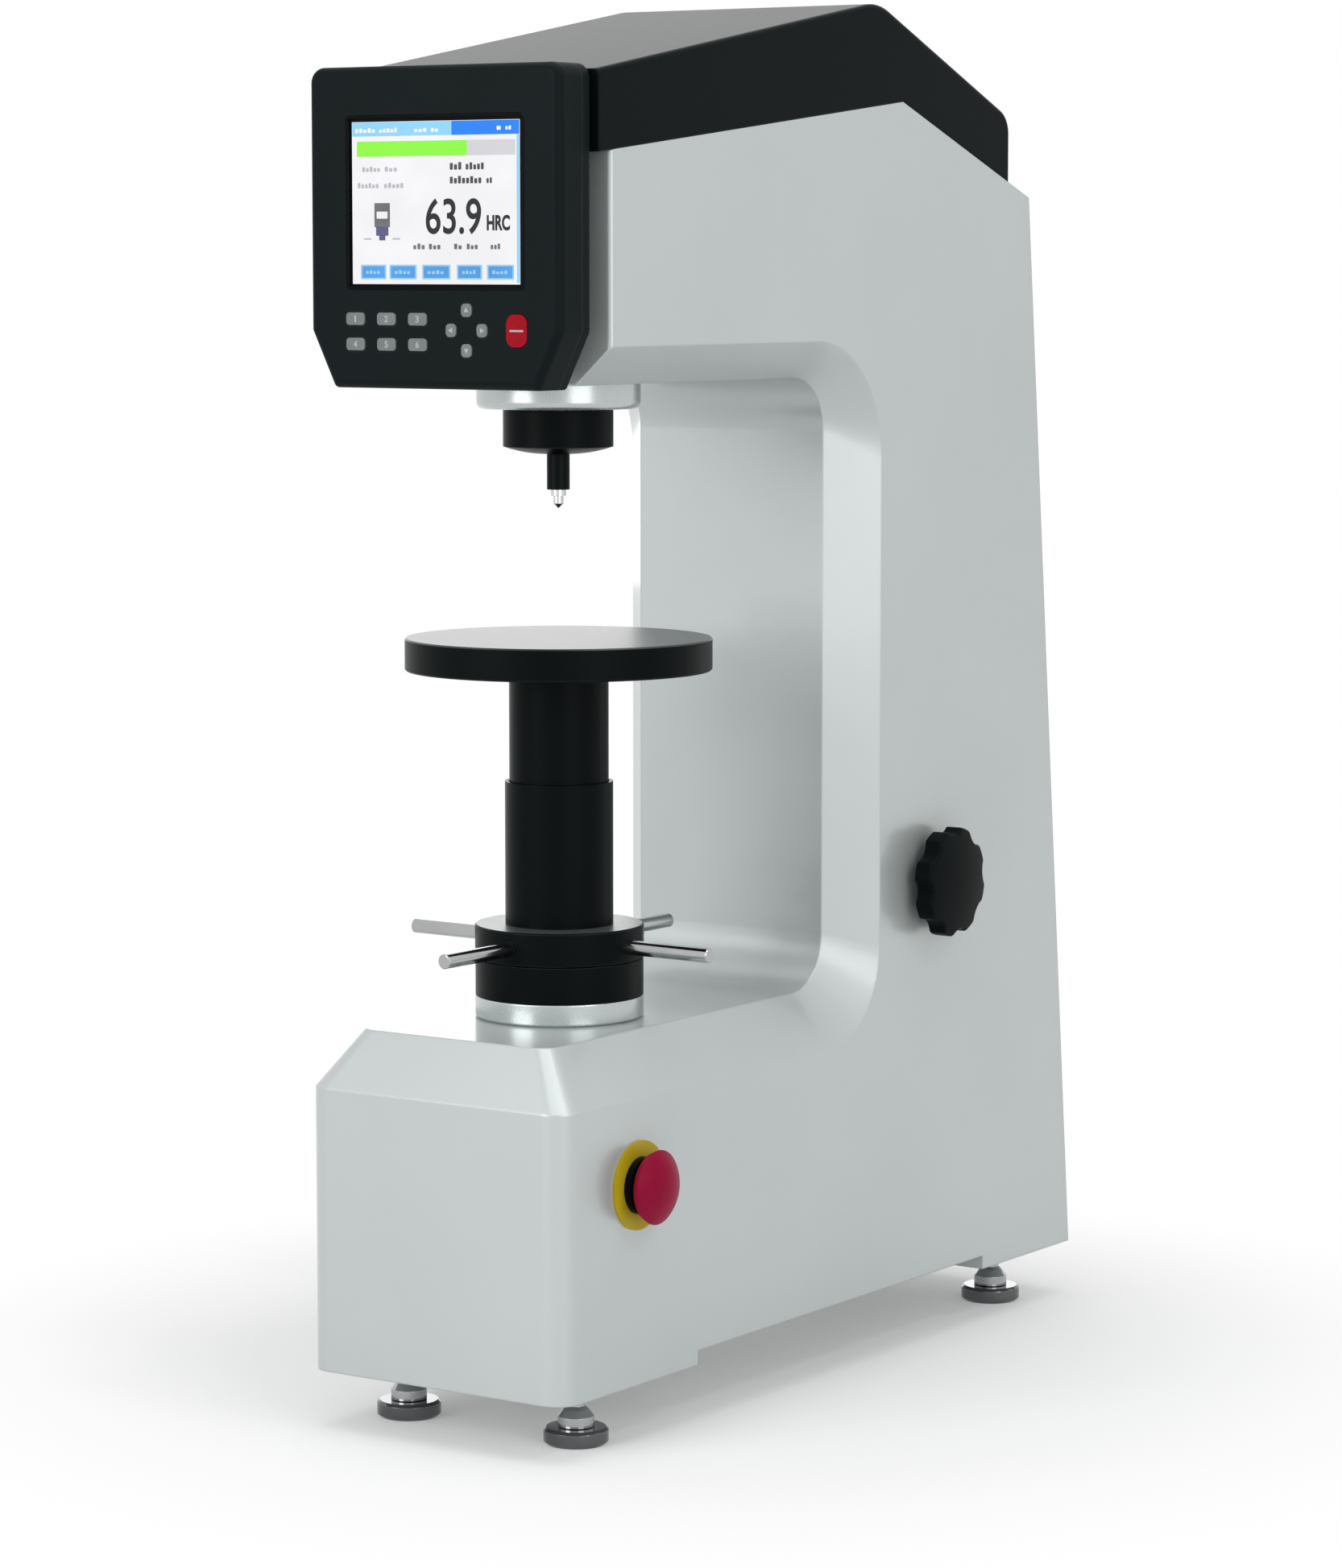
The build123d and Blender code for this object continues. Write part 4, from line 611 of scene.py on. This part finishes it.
for name, words, row, share, look in (
    ("left_1", ((446, 470), (475, 492)), 211, 0.8, pale_ink),
    ("left_2", ((440, 468), (474, 500)), 232, 0.85, pale_ink),
    ("right_1", ((558, 574), (578, 602)), 209.5, 1.15, dark_ink),
    ("right_2", ((558, 599), (604, 612)), 227, 1.15, dark_ink),
    ("foot", ((511, 527), (531, 547), (563, 574), (579, 594), (609, 622)), 310.5, 0.9, grey_ink),
    ("header_left", ((437, 464), (468, 492)), 161, 0.75, glow_white),
    ("header_mid", ((513, 530), (534, 545)), 161, 0.65, glow_white),
    ("header_right", ((617, 624), (628, 636)), 160, 0.8, glow_white),
    *((f"button_{left}", ((left + 6, right - 6),), 342, 0.6, button_edge)
      for left, right in BUTTONS),
):
    print_line(f"print_{name}", words, row, share, look)

# Printed marks: how thick they are, and how far they start under the surface they lie on
INK_THICK = 0.08
INK_SUNK = 0.02


def figures(name, text, wide, high, depth, weight, material, body):
    """Upright figures on a front face, fitted between two widths and two heights."""
    curve = bpy.data.curves.new(name, "FONT")
    curve.body = text
    curve.extrude = 0.01  # Only tells the front from the back
    curve.offset = weight
    probe = bpy.data.objects.new(name, curve)
    scene.collection.objects.link(probe)
    bpy.context.view_layer.update()
    shaped = probe.evaluated_get(bpy.context.evaluated_depsgraph_get())
    mesh = bpy.data.meshes.new_from_object(shaped)
    bpy.data.objects.remove(probe)
    xs = [v.co.x for v in mesh.vertices]
    ys = [v.co.y for v in mesh.vertices]
    for v in mesh.vertices:
        across = (v.co.x - min(xs)) / (max(xs) - min(xs))
        up = (v.co.y - min(ys)) / (max(ys) - min(ys))
        v.co = at(
            wide[0] + across * (wide[1] - wide[0]),
            depth - (INK_THICK if v.co.z > 0 else 0.0),
            high[0] + up * (high[1] - high[0]),
        )
    add_piece(name, mesh, material, body)


for name, text, left, right, top, bottom, weight in (
    ("screen_reading", "63.9", 527, 597, 245.5, 291.5, 0.012),
    ("screen_unit", "HRC", 604, 633, 267, 287, 0.04),
):
    figures(
        name, text, (screen_x(left), screen_x(right)), (screen_z(bottom), screen_z(top)),
        SCREEN_FACE - TILE_LIFT, weight, ink, "frame",
    )

# Black gasket round the window of the console: outlines from its outer foot over its back to
# its inner foot, each with how much larger than the screen it is, the radius of its corners
# and the share of the height that it stands proud
GASKET_WIDE = 1.9
GASKET_PROUD = 0.12
GASKET_SUNK = 0.01
GASKET_RINGS = (
    (2 * GASKET_WIDE, 3.0, 0.0),
    (1.6 * GASKET_WIDE, 2.8, 1.0),
    (0.1, 1.0, 1.0),
    (0.0, 1.0, -2.0),
)

console_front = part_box("console_bezel")[0].y * 1000 - FRONT_Y
screen_height = SCREEN_LOW + SCREEN_HIGH / 2
verts = [
    at(SCREEN_MID + x, console_front + GASKET_SUNK - GASKET_PROUD * lift, screen_height + z)
    for more, radius, lift in GASKET_RINGS
    for x, z in rounded_outline(SCREEN_WIDE + more, SCREEN_HIGH + more, radius, segments=6)
]
faces = bands(len(verts) // len(GASKET_RINGS), len(GASKET_RINGS))
add_mesh("screen_gasket", verts, faces, black_glass, "frame", "display_glass")

# Legends on the keys: figures, arrows and a bar
LEGEND_REACH = 1.7
FIGURE_REACH = 1.1
NARROW_FIGURE_REACH = 0.5
FIGURE_WEIGHT = 0.02
BAR_REACH, BAR_ROUND, BAR_SIDES = 4.4, 0.5, 12


def key_place(node):
    """Middle and front of a key, in bench millimetres."""
    low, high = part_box(node)
    across = (low.x + high.x) * 500 - MID_X
    return across, low.y * 1000 - FRONT_Y, (low.z + high.z) * 500


def flat_mark(name, outline, node, slot):
    """Thin printed mark on a key's face, from an outline in millimetres round its middle."""
    across, depth, height = key_place(node)
    count = len(outline)
    verts = [
        at(across + x, back, height + z)
        for back in (depth + INK_SUNK, depth + INK_SUNK - INK_THICK) for x, z in outline
    ]
    faces = [tuple(range(count)), tuple(range(2 * count - 1, count - 1, -1)), *bands(count, 2)]
    add_mesh(name, verts, faces, legend, f"{node}_body", slot)


for number in range(1, 7):
    node = f"function_key_{number}"
    across, depth, height = key_place(node)
    reach = NARROW_FIGURE_REACH if number == 1 else FIGURE_REACH
    figures(
        f"legend_{number}", str(number), (across - reach, across + reach),
        (height - LEGEND_REACH, height + LEGEND_REACH), depth + INK_SUNK, FIGURE_WEIGHT,
        legend, f"{node}_body",
    )
for way, turn in (("up", 0), ("left", 90), ("down", 180), ("right", 270)):
    corners = [math.radians(turn + 90 + corner) for corner in (0, 125, 235)]
    arrow = [(LEGEND_REACH * math.cos(a), LEGEND_REACH * math.sin(a)) for a in corners]
    flat_mark(f"legend_{way}", arrow, f"arrow_key_{way}", "key_grey")
bar = [
    (x + math.copysign(BAR_REACH - BAR_ROUND, x), z)
    for x, z in circle(BAR_ROUND, BAR_SIDES, start=180 / BAR_SIDES)
]
flat_mark("legend_red", bar, "red_key", "key_red")

# The preload spring, with closed ends, which the plunger squeezes against the bracket
WIRE_RADIUS = 0.001
WIRE_SIDES = 10
SPRING_TURNS = 7.0
SPRING_CLOSED = 0.75
SPRING_STEPS = 32

spring_low, spring_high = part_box("preload_spring")
spring_middle = (spring_low + spring_high) / 2
spring_height = spring_high.z - spring_low.z
coil_radius = (spring_high.x - spring_low.x) / 2 - WIRE_RADIUS
closed_pitch = 2 * WIRE_RADIUS
open_turns = SPRING_TURNS - 2 * SPRING_CLOSED
open_pitch = (spring_height - closed_pitch * (1 + 2 * SPRING_CLOSED)) / open_turns


def spring_rise(turn):
    """Height that the wire has climbed after a number of turns."""
    last_open = SPRING_TURNS - SPRING_CLOSED
    slow = max(0.0, min(turn, SPRING_CLOSED)) + max(0.0, turn - last_open)
    fast = max(0.0, min(turn, last_open) - SPRING_CLOSED)
    return closed_pitch * slow + open_pitch * fast


verts = []
steps = int(SPRING_TURNS * SPRING_STEPS)
for step in range(steps + 1):
    turn = step / SPRING_STEPS
    angle = 2 * math.pi * turn
    out = Vector((math.cos(angle), math.sin(angle), 0))
    spine = Vector((spring_middle.x, spring_middle.y, spring_low.z + WIRE_RADIUS))
    spine += out * coil_radius + Vector((0, 0, spring_rise(turn)))
    for across, up in circle(WIRE_RADIUS, WIRE_SIDES):
        verts.append(spine + out * across + Vector((0, 0, up)))
faces = bands(WIRE_SIDES, steps + 1)
faces.append(tuple(reversed(range(WIRE_SIDES))))
faces.append(tuple(steps * WIRE_SIDES + side for side in range(WIRE_SIDES)))
spring = add_mesh("coil_spring", verts, faces, steel, "plunger", "spindle_black", smooth=True)
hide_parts("preload_spring")
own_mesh(spring)

# Marks on the rear: flat dark hexagons on the cover's screws, painted shade that stands for their
# hexagon sockets, and I and O on the rocker
BEHIND_ALL = 1.0
ONE_SCREW = 0.02
SOCKET_RADIUS, SOCKET_HOLE, SOCKET_SIDES = 1.5, 0.01, 6
SOCKET_THICK = 0.02
ROCKER_THICK = 0.03
RING_SIDES, RING_WIDE = 20, 0.8


def rear_print(name, spot, outer, inner, thick, material, body, slot):
    """Thin ring on a face that looks back, between two outlines of (across, up) in mm."""
    middle, normal = spot
    up = (Vector((0, 0, 1)) - normal * normal.z).normalized()
    across = up.cross(normal)
    verts = [
        middle + (across * x + up * z + normal * lift) / 1000
        for outline, lift in ((outer, -INK_SUNK), (outer, thick), (inner, thick))
        for x, z in outline
    ]
    add_mesh(name, verts, bands(len(outer), 3), material, body, slot)


def rear_of(node):
    """Search tree over a node's faces."""
    mesh = nodes[node].data
    return BVHTree.FromPolygons([v.co for v in mesh.vertices], [f.vertices for f in mesh.polygons])


def rear_spot(tree, across, height):
    """Point and normal where a ray from behind meets a node, at a width and height in metres."""
    return tree.ray_cast(Vector((across, BEHIND_ALL, height)), Vector((0, -1, 0)))[:2]


heads = []
for vertex in nodes["cover_screws"].data.vertices:
    for head in heads:
        if (head[0] - vertex.co).length < ONE_SCREW:
            head.append(vertex.co)
            break
    else:
        heads.append([vertex.co])
screw_rear = rear_of("cover_screws")
# A flat dark hexagon on each screw head, painted shade for its socket
for number, head in enumerate(heads, 1):
    xs, zs = [c.x for c in head], [c.z for c in head]
    rear_print(
        f"screw_socket_shade_{number}",
        rear_spot(screw_rear, (min(xs) + max(xs)) / 2, (min(zs) + max(zs)) / 2),
        circle(SOCKET_RADIUS, SOCKET_SIDES), circle(SOCKET_HOLE, SOCKET_SIDES), SOCKET_THICK,
        socket_painted_shade, "frame", "screw_steel",
    )

rocker_low, rocker_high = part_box("power_rocker")
rocker_middle = (rocker_low.x + rocker_high.x) / 2
rocker_rear = rear_of("power_rocker")
ring, ring_hole = (circle(radius, RING_SIDES, wide=RING_WIDE) for radius in (1.6, 1.0))
for name, share, outer, inner in (
    ("rocker_on", 0.74, oblong(0.35, 1.5), oblong(0.05, 1.2)),
    ("rocker_off", 0.26, ring, ring_hole),
):
    height = rocker_low.z + share * (rocker_high.z - rocker_low.z)
    spot = rear_spot(rocker_rear, rocker_middle, height)
    rear_print(name, spot, outer, inner, ROCKER_THICK, legend, "rocker", "rocker_black")

# Floor and world: both are plain white where the camera, gloss or glass sees them, and the
# floor keeps its shading, with the shadow, near the object
FLOOR_HALF = 6
SHADOW_NEAR, SHADOW_FAR = 0.2, 0.52
WHITE_NEAR = 0.2
AMBIENT = 0.38


def studio_rays(tree):
    """1 for the rays that see plain white, 0 for those that light the object."""
    path = tree.nodes.new("ShaderNodeLightPath").outputs
    seen = combine(tree, "MAXIMUM", path["Is Camera Ray"], path["Is Glossy Ray"])
    return combine(tree, "MAXIMUM", seen, path["Is Transmission Ray"])


def mix_into(tree, share, first, second, output):
    """Blend two shaders into an output node."""
    mix = tree.nodes.new("ShaderNodeMixShader")
    link(tree, share, mix.inputs["Fac"])
    link(tree, first, mix.inputs[1])
    link(tree, second, mix.inputs[2])
    link(tree, mix.outputs["Shader"], tree.nodes[output].inputs["Surface"])


floor_mesh = bpy.data.meshes.new("floor")
corners = [(*corner, 0) for corner in oblong(FLOOR_HALF, FLOOR_HALF)]
floor_mesh.from_pydata(corners, [], [(0, 1, 2, 3)])
floor = bpy.data.objects.new("floor", floor_mesh)
scene.collection.objects.link(floor)
floor_material, tree, shader = new_material("floor_white")
floor_mesh.materials.append(floor_material)
shader.inputs["Roughness"].default_value = 1.0
shader.inputs["Specular IOR Level"].default_value = 0.0
floor_colour = mottled(tree, 3.0, 2.0, (0.93, 0.93, 0.93), (0.95, 0.95, 0.95))
link(tree, floor_colour, shader.inputs["Base Color"])
coords = tree.nodes.new("ShaderNodeTexCoord")
reach = tree.nodes.new("ShaderNodeVectorMath")
reach.operation = "LENGTH"
link(tree, coords.outputs["Object"], reach.inputs[0])
fade = tree.nodes.new("ShaderNodeMapRange")
fade.interpolation_type = "SMOOTHSTEP"
fade.inputs["From Min"].default_value = SHADOW_NEAR
fade.inputs["From Max"].default_value = SHADOW_FAR
fade.inputs["To Min"].default_value = WHITE_NEAR
link(tree, reach.outputs["Value"], fade.inputs["Value"])
whiteness = combine(tree, "MULTIPLY", studio_rays(tree), fade.outputs["Result"])
white = tree.nodes.new("ShaderNodeEmission")
mix_into(tree, whiteness, shader.outputs["BSDF"], white.outputs["Emission"], "Material Output")

world = bpy.data.worlds.new("studio")
scene.world = world
world.use_nodes = True
tree = world.node_tree
ambient = tree.nodes["Background"]
ambient.inputs["Color"].default_value = (1, 1, 1, 1)
ambient.inputs["Strength"].default_value = AMBIENT
bright = tree.nodes.new("ShaderNodeBackground")
bright.inputs["Color"].default_value = (1, 1, 1, 1)
mix_into(
    tree, studio_rays(tree), ambient.outputs["Background"], bright.outputs["Background"],
    "World Output",
)


# Lamps and camera
def lamp(name, place, aim, size, power):
    light = bpy.data.lights.new(name, "AREA")
    light.shape = "RECTANGLE"
    light.size, light.size_y = size
    light.energy = power
    holder = bpy.data.objects.new(name, light)
    holder.location = place
    holder.rotation_euler = (Vector(aim) - Vector(place)).to_track_quat("-Z", "Y").to_euler()
    scene.collection.objects.link(holder)
    return holder


lamp("key", (-0.7, -2.6, 1.15), (0, 0, 0.35), (1.3, 1.4), 28.5)
lamp("side", (2.25, -1.1, 1.0), (0, 0, 0.35), (1.4, 1.6), 13.5)
lamp("top", (0.1, -0.1, 2.3), (0, 0, 0), (1.8, 1.8), 20)
lamp("fill", (1.7, -0.2, 2.0), (0, 0, 0.3), (0.4, 0.4), 6)
back = lamp("back", (-1.45, 2.1, 0.85), (0, 0, 0.4), (1.8, 1.2), 9)
back.visible_camera = False

# Solved from the photo: focal length in its pixels, and the tilt and turn in degrees
PHOTO_HIGH = 1947
FOCAL_LENGTH = 6003.81
SENSOR = 36.0
TILT_DOWN, TURN = 6.19, 34.18

camera_data = bpy.data.cameras.new("camera")
camera_data.sensor_fit = "AUTO"
camera_data.sensor_width = SENSOR
camera_data.lens = FOCAL_LENGTH / PHOTO_HIGH * SENSOR
camera = bpy.data.objects.new("camera", camera_data)
camera.location = (1.51384, -2.27435, 0.627)
camera.rotation_euler = (math.radians(90 - TILT_DOWN), 0, math.radians(TURN))
scene.collection.objects.link(camera)
scene.camera = camera
scene.view_settings.view_transform = "Standard"
